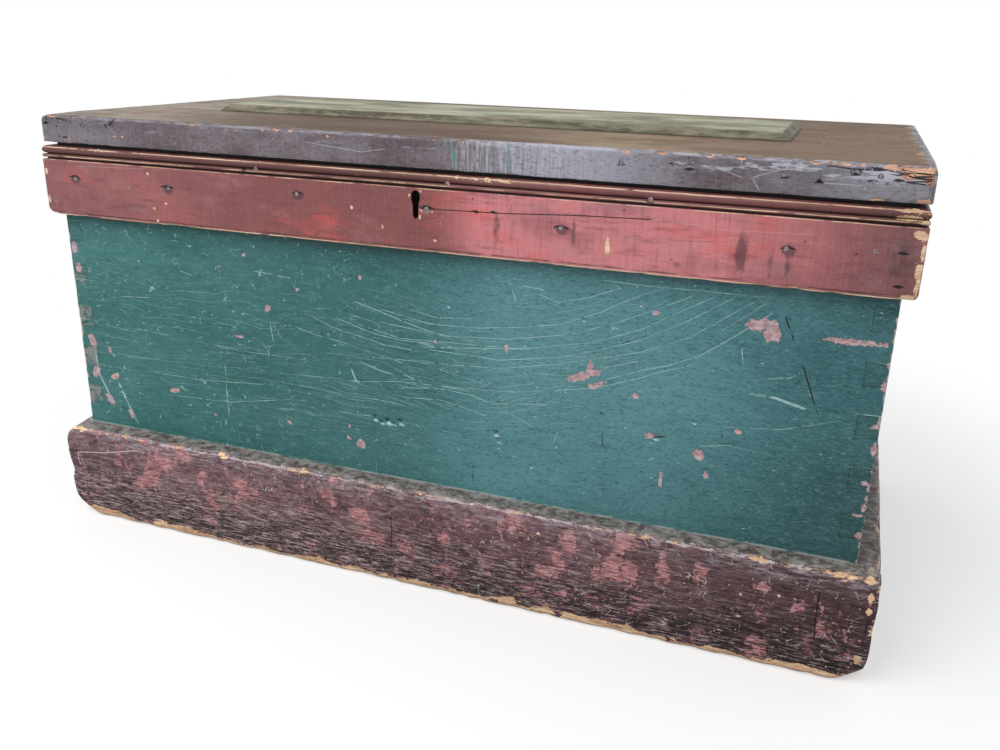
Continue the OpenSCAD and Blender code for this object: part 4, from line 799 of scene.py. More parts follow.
def run_tree(name, mesh, group, keys, values):
    """Gives a mesh to a node tree with its values and returns the finished piece."""
    piece = new_piece(name, mesh)
    modifier = piece.modifiers.new(group.name, "NODES")
    modifier.node_group = group
    for label, value in values.items():
        modifier[keys[label]] = value
    return baked(piece)


def cut(piece, cutters):
    """Takes the cutters, makers of closed shapes that don't touch each other, out of the piece."""
    bm = bmesh.new()
    for make in cutters:
        make(bm)
    bmesh.ops.recalc_face_normals(bm, faces=bm.faces)
    mesh = bpy.data.meshes.new("cutter")
    bm.to_mesh(mesh)
    bm.free()
    cutter = new_piece("cutter", mesh)
    modifier = piece.modifiers.new("cut", "BOOLEAN")
    modifier.operation = "DIFFERENCE"
    modifier.solver = "EXACT"
    modifier.object = cutter
    baked(piece)
    bpy.data.objects.remove(cutter)


def hole(x, depth, z, wide, deep):
    """A round hole that narrows inwards from the face at depth."""
    def make(bm):
        turn = Matrix.Translation((x, -depth, z)) @ Matrix.Rotation(math.radians(90), 4, "X")
        bmesh.ops.create_cone(bm, cap_ends=True, segments=14, radius1=wide * 0.82, radius2=wide * 1.16,
                              depth=2 * deep, matrix=turn)
    return make


def keyhole(depth, base):
    """The worn keyhole through a strip of that thickness whose foot is at base."""
    def make(bm):
        turns = [math.radians(a) for a in range(0, 181, 20)]
        top = [(KEY_R * math.cos(a), KEY_Z + KEY_R * math.sin(a)) for a in turns]
        low = [(-SLOT_R * math.cos(a), KEY_LOW + SLOT_R - SLOT_R * math.sin(a)) for a in turns]
        waist = [(-KEY_R, KEY_Z - KEY_R), (-KEY_R * 0.8, KEY_Z - KEY_R * 1.7),
                 (-SLOT_R * 1.15, KEY_Z - 2.3 * KEY_R)]
        outline = top + waist + low + [(-a, b) for a, b in reversed(waist)]
        rings = [[bm.verts.new((a, y, b - base)) for a, b in outline] for y in (-depth - 2, 2)]
        bm.faces.new(rings[0])
        bm.faces.new(list(reversed(rings[1])))
        for k in range(len(outline)):
            j = (k + 1) % len(outline)
            bm.faces.new((rings[0][j], rings[0][k], rings[1][k], rings[1][j]))
    return make


def box(low, high):
    """A plain box to cut with, in the strip's own place."""
    def make(bm):
        middle = [(low[k] + high[k]) / 2 for k in range(3)]
        size = [high[k] - low[k] for k in range(3)]
        bmesh.ops.create_cube(bm, size=1, matrix=Matrix.Translation(middle) @ Matrix.Diagonal((*size, 1)))
    return make


def lock_bed():
    """Room for the lock in the back of the front board; the strip's back lies inside the trunk."""
    return [[box((-SELVAGE_HALF, -SELVAGE_T, SELVAGE_LOW - CASE_Z), (SELVAGE_HALF, 1, CASE_H + 1))],
            [box((-LOCK_HALF, -LOCK_DEEP, LOCK_LOW - CASE_Z), (LOCK_HALF, 1, CASE_H + 1))],
            [box((-SELVAGE_HALF, -SELVAGE_W, CASE_H - SELVAGE_T), (SELVAGE_HALF, 1, CASE_H + 2))]]


def hinge_beds():
    """Room for the hinge leaves in the upper edge of the back board."""
    return [box((x - LEAF_HALF, -CASE_T - 1, CASE_H - LEAF_T), (x + LEAF_HALF, LEAF_W - CASE_T, CASE_H + 1))
            for x in (-HINGE_X, HINGE_X)]


# Wear of the strips: height of the lumps in their faces, and half length, half height and turn of a chip
# that gives none
LUMPS = 0.25
CHIP_SIZE = (2, 2, 0)


def lattice(cells, seed):
    """A fixed random value from 0 to 1 for each whole-numbered cell."""
    h = seed * 0x9E3779B1
    for k, prime in enumerate((73856093, 19349663, 83492791)):
        h = h ^ ((cells[..., k].astype(np.int64) * prime) & 0xFFFFFFFF)
    h = (h ^ (h >> 15)) * 0x2C1B3C6D & 0xFFFFFFFF
    h = (h ^ (h >> 12)) * 0x297A2D39 & 0xFFFFFFFF
    return ((h ^ (h >> 15)) & 0xFFFFFF) / 0xFFFFFF


def noise(points, size, seed):
    """Smooth noise from -1 to 1 whose bumps are about size millimetres; size may differ by axis."""
    scaled = points / np.asarray(size, dtype=float)
    cell = np.floor(scaled)
    part = scaled - cell
    part = part * part * (3 - 2 * part)
    total = np.zeros(len(points))
    for corner in np.ndindex(2, 2, 2):
        share = np.prod(np.where(np.array(corner) == 1, part, 1 - part), axis=1)
        total += share * lattice(cell + corner, seed)
    return 2 * total - 1


def bumps(along, places):
    """Sum of soft bumps along a line: place, half width and height of each."""
    total = np.zeros(len(along))
    for place, wide, high in places:
        total += high * np.exp(-((along - place) / wide) ** 2)
    return total


def read_points(mesh):
    points = np.empty(len(mesh.vertices) * 3)
    mesh.vertices.foreach_get("co", points)
    return points.reshape(-1, 3)


def set_field(mesh, name, values):
    field = mesh.attributes.new(name, "FLOAT", "POINT")
    field.data.foreach_set("value", values.astype(np.float32))


def chip_field(x, z, chips):
    """Least distance to the chips, in their own half sizes."""
    least = np.full(len(x), 3.0)
    for cx, cz, *given in chips:
        long, wide, turn = (*given, *CHIP_SIZE[len(given):])
        c, w = math.cos(math.radians(turn)), math.sin(math.radians(turn))
        u, v = x - cx, z - cz
        least = np.minimum(least, np.hypot((c * u + w * v) / long, (c * v - w * u) / wide))
    return least


def line_fields(x, z, lines):
    """Distance to the nearest line, in its half widths and signed by side, and 6 less it in millimetres."""
    side, near, least = np.full(len(x), 9.0), np.zeros(len(x)), np.full(len(x), 99.0)
    for width, *points in lines:
        for (x0, z0), (x1, z1) in zip(points, points[1:]):
            dx, dz = x1 - x0, z1 - z0
            u, v = x - x0, z - z0
            along = np.clip((u * dx + v * dz) / (dx * dx + dz * dz), 0, 1)
            away = np.hypot(u - along * dx, v - along * dz)
            closer = away / width < least
            least = np.where(closer, away / width, least)
            near = np.where(closer, np.clip(6 - away, 0, 6), near)
            side = np.where(closer, away / width * np.where(u * dz - v * dx < 0, -1, 1), side)
    return side, near


def weather(mesh, seed, arrises, base, marks=(), ends=None, chips=(), lines=None, quirk_shade=None):
    """Wears the arrises of a strip, which lies along X with its back on Y = 0, and gives it its fields.

    An arris is its distance out, its height, which way its board lies, reach, depth and extra worn places.
    ends gives the thickness, run, reach and depth of the upright arrises; lines are named lists of lines;
    and the painted shade of the quirks is given by how far out and between which heights it lies.
    """
    p = read_points(mesh)
    x, out, high = p[:, 0].copy(), -p[:, 1].copy(), p[:, 2].copy()
    wear = np.zeros(len(p))
    shown = np.clip(out / 3, 0, 1)
    for n, (arris_out, arris_high, inward, reach, depth, places) in enumerate(arrises):
        away = np.hypot(out - arris_out, high - arris_high)
        near = np.clip(1 - away / reach, 0, 1)
        rough = noise(p, (26, 60, 60), seed + n) + 0.6 * noise(p, (7, 9, 9), seed + n + 20)
        loss = np.clip(rough * 0.55 - 0.05, 0, 1) + bumps(x, places)
        amount = near * np.minimum(loss, 1.6) * depth
        p[:, 1] += amount * 0.7 * shown
        p[:, 2] += amount * 0.7 * inward * shown
        wear = np.maximum(wear, near * np.clip(0.25 + loss, 0, 1.3) * shown)
    if ends:
        thick, run, reach, depth = ends
        near = np.clip(1 - np.hypot(out - thick, np.abs(x) - run) / reach, 0, 1)
        rough = noise(p, (60, 60, 22), seed + 9) + 0.7 * noise(p, (9, 9, 6), seed + 29)
        loss = np.clip(rough * 0.6 + 0.15, 0, 1)
        p[:, 1] += near * loss * depth
        p[:, 0] -= np.sign(x) * near * loss * depth
        wear = np.maximum(wear, near * np.clip(0.35 + loss, 0, 1.3))
    field = np.zeros(len(p))
    for mx, mz, rx, rz, strength in marks:
        field += strength * np.exp(-(((x - mx) / rx) ** 2 + ((high + base - mz) / rz) ** 2))
    chip = chip_field(x, high + base, chips)
    dents = np.clip(1.4 - chip, 0, 1) * 0.3
    set_field(mesh, "wear", wear)
    set_field(mesh, "mark", np.clip(field, -1, 2))
    set_field(mesh, "chip", 3 - chip)
    dark = np.zeros(len(p))
    # Painted shade in the quirks between those heights
    if quirk_shade:
        dark = np.clip(quirk_shade[0] - out, 0, 1) * (high > quirk_shade[1]) * (high < quirk_shade[2])
    set_field(mesh, "quirk_shade", dark)
    for name, group in (lines or {}).items():
        side, near = line_fields(x, high + base, group)
        set_field(mesh, name + "_side", side)
        set_field(mesh, name + "_near", near)
    uneven = 0.6 * noise(p, (60, 60, 60), seed + 41) + 0.4 * noise(p, (9, 9, 7), seed + 42) + 0.8
    p[:, 1] += (LUMPS * uneven + dents) * shown
    mesh.vertices.foreach_set("co", p.ravel())


def kept_share(u, v, r):
    """What a point keeps of its distance from the centre of a corner that is rounded to r."""
    return np.where((u > 0) & (v > 0), np.minimum(1, r / np.maximum(np.hypot(u, v), 1e-6)), 1)


def rounded_end(points, end, edge_z, up, small, large, out_x, front_y):
    """Rounds the corner of an edge at an end of the front: large at the front, small where that has faded."""
    fade = 60
    r = small + (large - small) * np.clip((front_y + fade - points[:, 1]) / fade, 0, 1)
    u, v = end * points[:, 0] - out_x + r, up * (points[:, 2] - edge_z) + r
    lost = 1 - kept_share(u, v, r)
    points[:, 0] -= end * u * lost
    points[:, 2] -= up * v * lost


def worn_corners(points):
    """Rubs off the plinth's lower corners and rounds its upper left one, in the trunk's own place."""
    out_x, out_y = HALF_L + PLINTH_T, HALF_D + PLINTH_T
    soft, top_r = 2.0, 23.0
    notch_x, notch_y, notch_z, notch_half, notch_deep = -450, -216, 62, 10, 4.6
    for sx in (-1, 1):
        for sy in (-1, 1):
            for n, (wide, tall) in enumerate(WORN_CUTS):
                normal = np.array([sx / wide, sy / wide, -1 / tall])
                limit = out_x / wide + out_y / wide - 1
                length = np.linalg.norm(normal)
                ripple = noise(points, (24, 24, 18), 77 + sx + 3 * sy + 9 * n) * 1.2 - 0.6
                past = (points @ normal - limit) / length - ripple
                eased = soft * np.log1p(np.exp(np.minimum(past, 6 * soft) / soft))
                pull = np.where(past > 6 * soft, past, eased)
                points -= np.outer(np.where(past > -4 * soft, pull, 0), normal / length)
    rounded_end(points, -1, PLINTH_H, 1, PLINTH_TOP_R, top_r, out_x, -out_y)
    x, y, z = points.T.copy()
    near = np.clip((notch_x - x) / 16, 0, 1) * np.clip((notch_y - y) / 20, 0, 1)
    points[:, 0] += notch_deep * near * np.exp(-((z - notch_z) / notch_half) ** 2)
    return points


def worn_band(points):
    """Rounds the worn ends of the front band, in the trunk's own place."""
    for end, edge_z, up, large in (
            (-1, BAND_Z, -1, 11.0), (-1, BAND_Z + BAND_H, 1, 5.0), (1, BAND_Z, -1, 7.0)):
        rounded_end(points, end, edge_z, up, 0.5, large, HALF_L + BAND_T, -HALF_D - BAND_T)
    return points


def rounded_corners(points):
    """Rounds the corners of the lid's rim, in the trunk's own place."""
    r = 9.0
    for sx in (-1, 1):
        for sy, out_y in ((-1, LID_FRONT + RIM_T), (1, HALF_D)):
            u = sx * points[:, 0] - (LID_HALF_L + RIM_T - r)
            v = sy * points[:, 1] - (out_y - r)
            lost = 1 - kept_share(u, v, r)
            points[:, 0] -= sx * u * lost
            points[:, 1] -= sy * v * lost
    for end, large in ((-1, 16.0), (1, 8.0)):
        rounded_end(points, end, LID_TOP, 1, RIM_R, large, LID_HALF_L + RIM_T, -LID_FRONT - RIM_T)
    return points


def placed(piece, side, dist, base, body, nodes, after=None):
    """Puts a strip on its side of the trunk, attaches it to its body and hides the nodes that it stands for.
    """
    mesh = piece.data
    p = read_points(mesh)
    p[:, 1] -= dist
    p[:, 2] += base
    c, s = SIDE_TURNS[side]
    p = np.stack([c * p[:, 0] - s * p[:, 1], s * p[:, 0] + c * p[:, 1], p[:, 2]], axis=1)
    if after:
        p = after(p)
    mesh.vertices.foreach_set("co", (p * MM).ravel())
    mesh.update()
    for polygon in mesh.polygons:
        polygon.use_smooth = True
    mesh.set_sharp_from_angle(angle=math.radians(38))
    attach(piece, body)
    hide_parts(*nodes)


def section_mesh(points):
    """An outline of distances out and heights as a closed line of edges."""
    mesh = bpy.data.meshes.new("section")
    count = len(points)
    mesh.from_pydata([(d, -h, 0) for d, h in points], [(k, (k + 1) % count) for k in range(count)], [])
    return mesh


def spread(count, run):
    return [-run + 2 * run * k / (count - 1) for k in range(count)]


# Places of the nails, as in part.scad: shares of the half length and of the height on the front, even rows
# elsewhere
NAIL_EDGE, PLINTH_NAIL_EDGE, PLINTH_NAIL_Z = 45, 90, 82
BAND_FRONT = [
    (-0.931, 0.54), (-0.652, 0.53), (-0.298, 0.6), (0.026, 0.55), (0.33, 0.46), (0.781, 0.45),
    (0.94, 0.51)
]
BAND_QUIRK = (-0.403, 0.075, 0.512)
RIM_FRONT = [
    (-0.889, 0.5), (-0.813, 0.57), (-0.35, 0.48), (0.063, 0.6), (0.448, 0.4), (0.761, 0.35), (0.93, 0.52)
]
QUIRK_Z = BAND_Z + BAND_H - 2 * BEAD_R - QUIRK_W / 2
band_spots = {
    FRONT: [(u * HALF_L, BAND_Z + v * BAND_H) for u, v in BAND_FRONT]
    + [(u * HALF_L, QUIRK_Z) for u in BAND_QUIRK],
    BACK: [(x, BAND_Z + BAND_H / 2) for x in spread(7, HALF_L - NAIL_EDGE)],
    RIGHT: [(y, BAND_Z + BAND_H / 2) for y in spread(4, HALF_D - NAIL_EDGE)]
}
band_spots[LEFT] = band_spots[RIGHT]
rim_spots = {
    FRONT: [(u * HALF_L, LID_Z + v * (LID_TOP - LID_Z)) for u, v in RIM_FRONT],
    RIGHT: [(y, (LID_Z + LID_TOP) / 2) for y in spread(4, HALF_D - NAIL_EDGE)]
}
rim_spots[LEFT] = rim_spots[RIGHT]
plinth_spots = {
    FRONT: [(x, PLINTH_NAIL_Z) for x in spread(5, HALF_L - PLINTH_NAIL_EDGE)],
    RIGHT: [(y, PLINTH_NAIL_Z) for y in spread(3, HALF_D - PLINTH_NAIL_EDGE)]
}
plinth_spots[BACK] = plinth_spots[FRONT]
plinth_spots[LEFT] = plinth_spots[RIGHT]

# Old holes on the front: X, Z and radius
BAND_HOLES = [
    (-199, 452, 1.4), (61, 440, 1.2), (65, 428, 1.8), (83, 429, 1.6), (211, 441, 1.6), (452, 395, 2.0),
    (415, 420, 1.3), (372, 427, 1.2), (258, 400, 1.2)
]
RIM_HOLES = [
    (-457, 487, 1.2), (-443, 484, 1.2), (-402, 470, 1.1), (-441, 473, 1.2), (265, 492, 1.1),
    (377, 480, 1.4), (404, 491, 1.2), (431, 481, 1.3), (443, 489, 1.2), (-285, 478, 1.0)
]


def run_strip(kind, side, section, sizes, paint, looks, holes=(), after=None):
    """Makes one strip: sizes are its base, height, distance, runs, mitres, end rounds and spacing."""
    base, high, dist, runs, mitres, rounds, spacing = sizes
    name = f"{kind}_{('front', 'right', 'back', 'left')[side]}"
    material, slot, body = paint
    values = dict(zip(STRIP_SIZES, (*runs, *mitres, spacing, high, *rounds)))
    piece = run_tree(name + "_board", section_mesh(section), strip_group, strip_keys, {
        **{label: float(value) for label, value in values.items()}, "Paint": material})
    for group in holes:
        cut(piece, group)
    weather(piece.data, base=base, **looks)
    placed(piece, side, dist, base, body, [name], after)


strip_group, strip_keys = strip_tree()

green = green_paint()
red = red_paint()
maroon = maroon_paint()
brown = brown_paint()
brown_cross = brown_paint("worn_brown_across", (1, 16, 1))
olive = olive_paint()
pine = bare_pine()
dark_iron = iron()
lock_brass = brass()


# Band. Worn places of an edge: place, half width and depth; marks: X, Z, half sizes and strength
BAND_LOW = [
    (-470, 14, 1.0), (-418, 6, 0.7), (-317, 6, 0.6), (-296, 5, 0.6), (126, 5, 0.7), (140, 5, 0.7),
    (335, 9, 0.6), (367, 7, 0.7), (401, 7, 0.6), (461, 10, 1.0), (-150, 8, 0.4), (20, 6, 0.4),
    (230, 6, 0.5)
]
BAND_TOP = [
    (-470, 8, 0.7), (-380, 20, 0.35), (-200, 16, 0.3), (45, 25, 0.45), (80, 18, 0.5), (458, 14, 1.0)
]
BAND_PITS = [(-425, 427), (-299, 425), (-134, 431), (12, 427), (152, 419), (359, 419)]
BAND_DOTS = [(65, 428), (83, 429), (452, 424), (452, 395), (233, 451), (-199, 452)]
BAND_MARKS = [(x, z - 1, 7, 5.5, 1.4) for x, z in BAND_PITS] + [
    (86, 415, 4, 26, 0.9), (100, 434, 5, 18, 0.6), (164, 414, 3, 20, 0.85), (182, 414, 1.2, 34, 0.8),
    (319, 412, 7, 22, 1.15), (360, 402, 4, 10, 0.9), (345, 404, 4, 20, 0.7), (452, 418, 17, 36, 0.7),
    (-455, 394, 14, 9, 0.6), (262, 396, 5, 5, 0.7), (228, 401, 5, 5, 0.6)
]
BAND_CHIPS = [
    (197, 406, 2.6, 9), (-319, 401), (-316, 388), (-324, 439), (-303, 408), (-37, 405), (21, 396),
    (-72, 422), (11, 425, 8, 2.6), (464, 440, 7, 4, -20), (468, 426, 3, 7), (467, 408, 4, 9, 10),
    (468, 394, 4, 6), (461, 387, 7, 2.4, 5), (452, 454, 11, 2.6, 2), (466, 451, 5, 2.4),
    (-6.5, 440, 1.3, 4.5), (5.6, 444, 2.4, 1.3, -40), (4.4, 418, 1.4, 3), (-466, 433, 2, 4),
    (-467, 401, 2, 5)
]
PIT_TOP = [(-5.4, 1.3), (-1.8, 2.1), (2.0, 1.8), (5.2, 0.7)]


def pit_lines(spots, k):
    """The dark upper rims of the nails' worn beds, no two alike."""
    lines = []
    for n, (x, z) in enumerate(spots):
        wide, tall = k * (1 + 0.28 * math.sin(2.3 * n)), k * (1 + 0.3 * math.cos(1.7 * n))
        lines.append((0.95 * k, *[(x + u * wide, z + v * tall) for u, v in PIT_TOP]))
    return lines


BAND_LINES = {
    "gouge": [(0.45, (6, 427), (51, 428), (93, 429), (164, 433), (235, 435))]
    + pit_lines(BAND_PITS, 1.0) + [(1.2, (x - 2, z + 0.4), (x + 1.6, z)) for x, z in BAND_DOTS],
    "scratch": [(0.35, (-420, 441), (-330, 444)), (0.35, (250, 415), (330, 421)),
                (0.4, (60, 441), (64, 438)), (0.35, (240, 436), (300, 431), (380, 434))]
}
RED = (red, "red_paint", "chest")
for side in range(4):
    front = side == FRONT
    dist, run = (HALF_D, HALF_L) if side in (FRONT, BACK) else (HALF_L, HALF_D)
    corners = [(-run - 10, 10, 0.7), (run + 10, 10, 0.7)]
    looks = {
        "seed": 11 + 100 * side,
        "arrises": [(BAND_T, 0, 1, 4.5, 1.6, BAND_LOW if front else corners),
                    (BAND_T - 1, BAND_H - 2, -1, 5.5, 1.2, BAND_TOP if front else corners),
                    (BAND_T, BAND_FLAT, -1, 1.6, 0.5, [])],
        "ends": (BAND_T, run + BAND_T, 6.0, 1.0),
        "quirk_shade": (BAND_T - 1.6, BAND_FLAT - 0.4, BAND_H - 2 * BEAD_R + 0.3)}
    holes = [hole(x, BAND_T, z - BAND_Z, NAIL_HEAD_R, 1.5) for x, z in band_spots[side]]
    if front:
        looks |= {"marks": BAND_MARKS, "chips": BAND_CHIPS, "lines": BAND_LINES}
        holes += [keyhole(BAND_T, BAND_Z)] + [hole(x, BAND_T, z - BAND_Z, r, 1.2) for x, z, r in BAND_HOLES]
    sizes = (BAND_Z, BAND_H, dist, (run, run), (1, 1), (0, 0), 2.4)
    run_strip("band", side, band_section(), sizes, RED, looks, [holes], worn_band)

# Rim
RIM_TOP = [(x, 5, 0.9) for x in (-449, -420, -394, -285, -260, -157, -142, 20, 48, 208, 240, 282, 310, 372)]
RIM_TOP += [(395, 14, 0.8), (448, 18, 1.3)]
RIM_LOW = [(430, 6, 0.8), (462, 6, 0.9), (347, 5, 0.6), (-380, 8, 0.4), (-462, 8, 0.6), (100, 10, 0.3)]
RIM_CHIPS = [
    (-364, 477, 2, 1.6), (-353, 477, 2, 1.6), (-428, 472), (-217, 492, 2, 1.6), (-173, 493, 2, 1.5),
    (-97, 491), (-463, 470), (433, 494, 8, 2.5), (450, 492, 12, 4, -8), (464, 492, 7, 5),
    (464, 485, 5, 4, -30), (447, 487, 8, 2), (461, 468, 6, 2.4, 6), (425, 467, 6, 1.4)
]
RIM_NICKS = [
    (205, 483), (252, 486), (267, 482), (349, 481), (377, 479), (405, 487), (419, 482), (439, 484),
    (-458, 487), (-406, 487), (-372, 488), (-432, 472)
]
RIM_LINES = {
    "gouge": [
        (0.6, (384, 493), (403, 491), (429, 492), (441, 490), (450, 487), (464, 486)),
        (1.6, (418, 493), (424, 492)), (0.8, (440, 495), (448, 493)), (0.6, (452, 491), (467, 490)),
        (0.5, (444, 483), (462, 482)), (0.7, (-362, 495), (-366, 490), (-374, 487)),
        (0.7, (-457, 493), (-432, 492)), (1.5, (-432, 491), (-430, 491))
    ] + [(1.4, (x - 1, z), (x + 1, z)) for x, z in RIM_NICKS],
    "scratch": [
        (0.5, (322, 479), (345, 487), (364, 490)), (0.5, (322, 478), (328, 468)),
        (0.5, (377, 478), (410, 478)), (0.4, (-120, 484), (-60, 478), (-35, 482)),
        (0.4, (290, 486), (312, 478))
    ],
    "score": [
        (1.1, (37, 495), (40, 480), (42, 462)), (0.9, (96, 494), (98, 481), (99, 468)),
        (0.5, (43, 484), (45, 470))
    ]
}
BROWN = (brown, "brown_paint", "lid")
for side, dist, runs, mitres in ((FRONT, LID_FRONT, (LID_HALF_L, LID_HALF_L), (1, 1)),
                                 (RIGHT, LID_HALF_L, (LID_FRONT, HALF_D), (1, 0)),
                                 (LEFT, LID_HALF_L, (HALF_D, LID_FRONT), (0, 1))):
    front = side == FRONT
    tops = RIM_TOP if front else [(-HALF_D - 8, 8, 0.9), (HALF_D + 8, 8, 0.9)]
    looks = {
        "seed": 31 + 100 * side, "ends": (RIM_T, (LID_HALF_L if front else LID_FRONT) + RIM_T, 6.0, 0.8),
        "arrises": [(RIM_T - 0.7, RIM_H - 0.7, -1, 4.0, 2.4, tops),
                    (RIM_T, 0, 1, 3.0, 1.6, RIM_LOW if front else [])]}
    holes = [hole(x, RIM_T, z - RIM_Z, NAIL_HEAD_R, 1.5) for x, z in rim_spots[side]]
    if front:
        looks |= {"chips": RIM_CHIPS, "lines": RIM_LINES}
        holes += [hole(x, RIM_T, z - RIM_Z, r, 1.2) for x, z, r in RIM_HOLES]
    sizes = (RIM_Z, RIM_H, dist, runs, mitres, (0, 0), 2.4)
    run_strip("rim", side, rim_section(), sizes, BROWN, looks, [holes], rounded_corners)

# Plinth
PLINTH_TOP = [
    (-460, 14, 1.2), (-392, 8, 1.0), (-247, 6, 0.8), (-140, 14, 0.9), (7, 6, 0.8), (257, 6, 0.8),
    (365, 7, 0.8), (445, 22, 1.1)
]
PLINTH_LOW = [(x, w, 1.0) for x, w in (
    (-456, 9), (-417, 11), (-372, 10), (-335, 9), (-277, 10), (-254, 6), (-205, 12), (-162, 9), (-67, 12),
    (-29, 7), (32, 11), (57, 6), (77, 6), (120, 13), (157, 6), (227, 12), (262, 8), (277, 6), (311, 12),
    (352, 13), (400, 14), (428, 8), (460, 10))]
PLINTH_MARKS = [(x, z, 9, 9, 0.9) for x, z in (
    (-336, 90), (-360, 64), (-297, 106), (-276, 85), (-269, 62), (-265, 47), (-106, 94), (-73, 78),
    (-152, 40), (-272, 31), (-246, 99), (-48, 53), (35, 67), (176, 96), (180, 88), (146, 53), (224, 83),
    (-3, 47), (248, 74), (236, 107), (373, 62), (413, 74), (315, 99), (278, 84), (226, 67), (262, 44),
    (375, 90), (377, 25))]
PLINTH_CHIPS = [
    (144, 99, 2.4, 2), (355, 51, 3.4, 1.6, 30), (355, 76, 1.8, 1.8), (391, 83, 1.8, 1.8),
    (470, 117, 5, 3), (473, 100, 3, 5), (473, 85, 3, 4), (470, 31, 4, 5)
]
PLINTH_LINES = {
    "gouge": [(0.8, (427, 94), (427, 75), (428, 43)), (0.45, (-28, 86), (-27, 66), (-28, 45)),
              (1.4, (336, 15), (339, 15)), (1.4, (-28, 96), (-26, 96)), (1.0, (474, 72), (473, 62))],
    "scratch": [(0.6, (-466, 85), (-420, 92), (-372, 103)), (0.6, (-465, 85), (-467, 69))]
}
MAROON = (maroon, "maroon_paint", "chest")
for side in range(4):
    front = side == FRONT
    dist, run = (HALF_D, HALF_L + PLINTH_T) if side in (FRONT, BACK) else (HALF_L, HALF_D)
    ends = [(-run, 16, 0.9), (run, 16, 0.9), (-150, 20, 0.7), (60, 14, 0.6), (run / 2, 18, 0.7)]
    inset = PLINTH_TOP_R * 0.3
    looks = {
        "seed": 51 + 100 * side,
        "arrises": [(PLINTH_T - inset, PLINTH_H - inset, -1, 8.0, 2.6, PLINTH_TOP if front else ends),
                    (PLINTH_T - 1, 2, 1, 9.0, 1.5, PLINTH_LOW if front else ends)],
        "ends": (PLINTH_T, run, 9.0, 1.6) if side in (FRONT, BACK) else None}
    if front:
        looks |= {"marks": PLINTH_MARKS, "chips": PLINTH_CHIPS, "lines": PLINTH_LINES}
    sizes = (0.0, PLINTH_H, dist, (run, run), (0, 0), (PLINTH_TOP_R, PLINTH_LOW_R), 2.4)
    run_strip("plinth", side, plinth_section(), sizes, MAROON, looks, after=worn_corners)

# Case
GREEN = (green, "green_paint", "chest")
for side in range(4):
    front = side == FRONT
    along = side in (FRONT, BACK)
    dist, run = (HALF_D - CASE_T, HALF_L) if along else (HALF_L - CASE_T, HALF_D - CASE_T)
    looks = {
        "seed": 71 + 100 * side, "arrises": [(CASE_T, CASE_H, -1, 4.0, 1.4, [])],
        "ends": (CASE_T, HALF_L, 5.0, 0.6) if along else None}
    if front:
        looks |= {"marks": CASE_DENTS, "chips": CASE_CHIPS, "lines": {
            "gouge": CASE_GOUGES, "scratch": CASE_SCRATCHES, "score": CASE_SCRAPES + CASE_SCORES}}
    fine = 2.5 if front else 5.0
    holes = [[keyhole(CASE_T, CASE_Z)]] + lock_bed() if front else [hinge_beds()] if side == BACK else []
    sizes = (CASE_Z, CASE_H, dist, (run, run), (0, 0), (0, 0), fine)
    run_strip("case", side, board_section(fine), sizes, GREEN, looks, holes)


# Nails
NAIL_SIZES = ("Head radius", "Head thickness", "Sink", "Shank radius", "Reach", "Point", "Tilt")


def nail_tree():
    """Puts a nail at each point, its head outwards along the point's facing, each a little askew."""
    keys, t = new_group("old_nails", "Places", NAIL_SIZES, "Iron", "Nails")
    head_r, head_t, sink, shank_r, reach, point, tilt = [t.node("NodeGroupInput", out=n) for n in NAIL_SIZES]

    def part(sides, above, below, height, foot):
        made = t.node("GeometryNodeMeshCone", inputs={
            "Vertices": sides, "Radius Top": above, "Radius Bottom": below, "Depth": height})
        move = t.node("ShaderNodeCombineXYZ", inputs={"Z": foot})
        return t.node("GeometryNodeTransform", inputs={"Geometry": made, "Translation": move})

    dome = head_t * 0.3
    shank = reach - point - sink - head_t
    parts = [part(14, head_r * 0.55, head_r * 0.94, dome, 0 - sink - dome),
             part(14, head_r * 0.94, head_r, head_t - dome, 0 - sink - head_t),
             part(8, shank_r, shank_r, shank, 0 - reach + point),
             part(8, shank_r, shank_r * 0.3, point, 0 - reach)]
    join = t.tree.nodes.new("GeometryNodeJoinGeometry")
    for piece in parts:
        t.tree.links.new(piece.socket, join.inputs[0])
    facing = t.node("GeometryNodeInputNamedAttribute", {"data_type": "FLOAT_VECTOR"}, {"Name": "facing"})
    aim = t.node("FunctionNodeAlignRotationToVector", {"axis": "Z"}, {"Vector": facing})
    low = t.node("ShaderNodeCombineXYZ", inputs={"X": 0 - tilt, "Y": 0 - tilt, "Z": -3.1})
    high = t.node("ShaderNodeCombineXYZ", inputs={"X": tilt, "Y": tilt, "Z": 3.1})
    askew = t.node("FunctionNodeRandomValue", {"data_type": "FLOAT_VECTOR"}, {0: low, 1: high, "Seed": 7})
    askew = t.node("FunctionNodeEulerToRotation", inputs=[askew])
    aim = t.node("FunctionNodeRotateRotation", {"rotation_space": "LOCAL"}, [aim, askew])
    places = t.node("NodeGroupInput", out="Places")
    nails = t.node("GeometryNodeInstanceOnPoints", inputs={
        "Points": places, "Instance": Wire(t, join.outputs[0]), "Rotation": aim})
    nails = t.node("GeometryNodeRealizeInstances", inputs=[nails])
    finish = t.node("NodeGroupInput", out="Iron")
    nails = t.node("GeometryNodeSetMaterial", inputs={"Geometry": nails, "Material": finish})
    t.node("NodeGroupOutput", inputs=[nails])
    return t.tree, keys


def side_places(spots, dists):
    """Places and facings of the nails of each side: spots by side, and how far its face lies out."""
    places, facings = [], []
    for side, group in spots.items():
        c, s = SIDE_TURNS[side]
        for u, z in group:
            places.append((c * u + s * dists[side % 2], s * u - c * dists[side % 2], z))
            facings.append((s, -c, 0))
    return places, facings


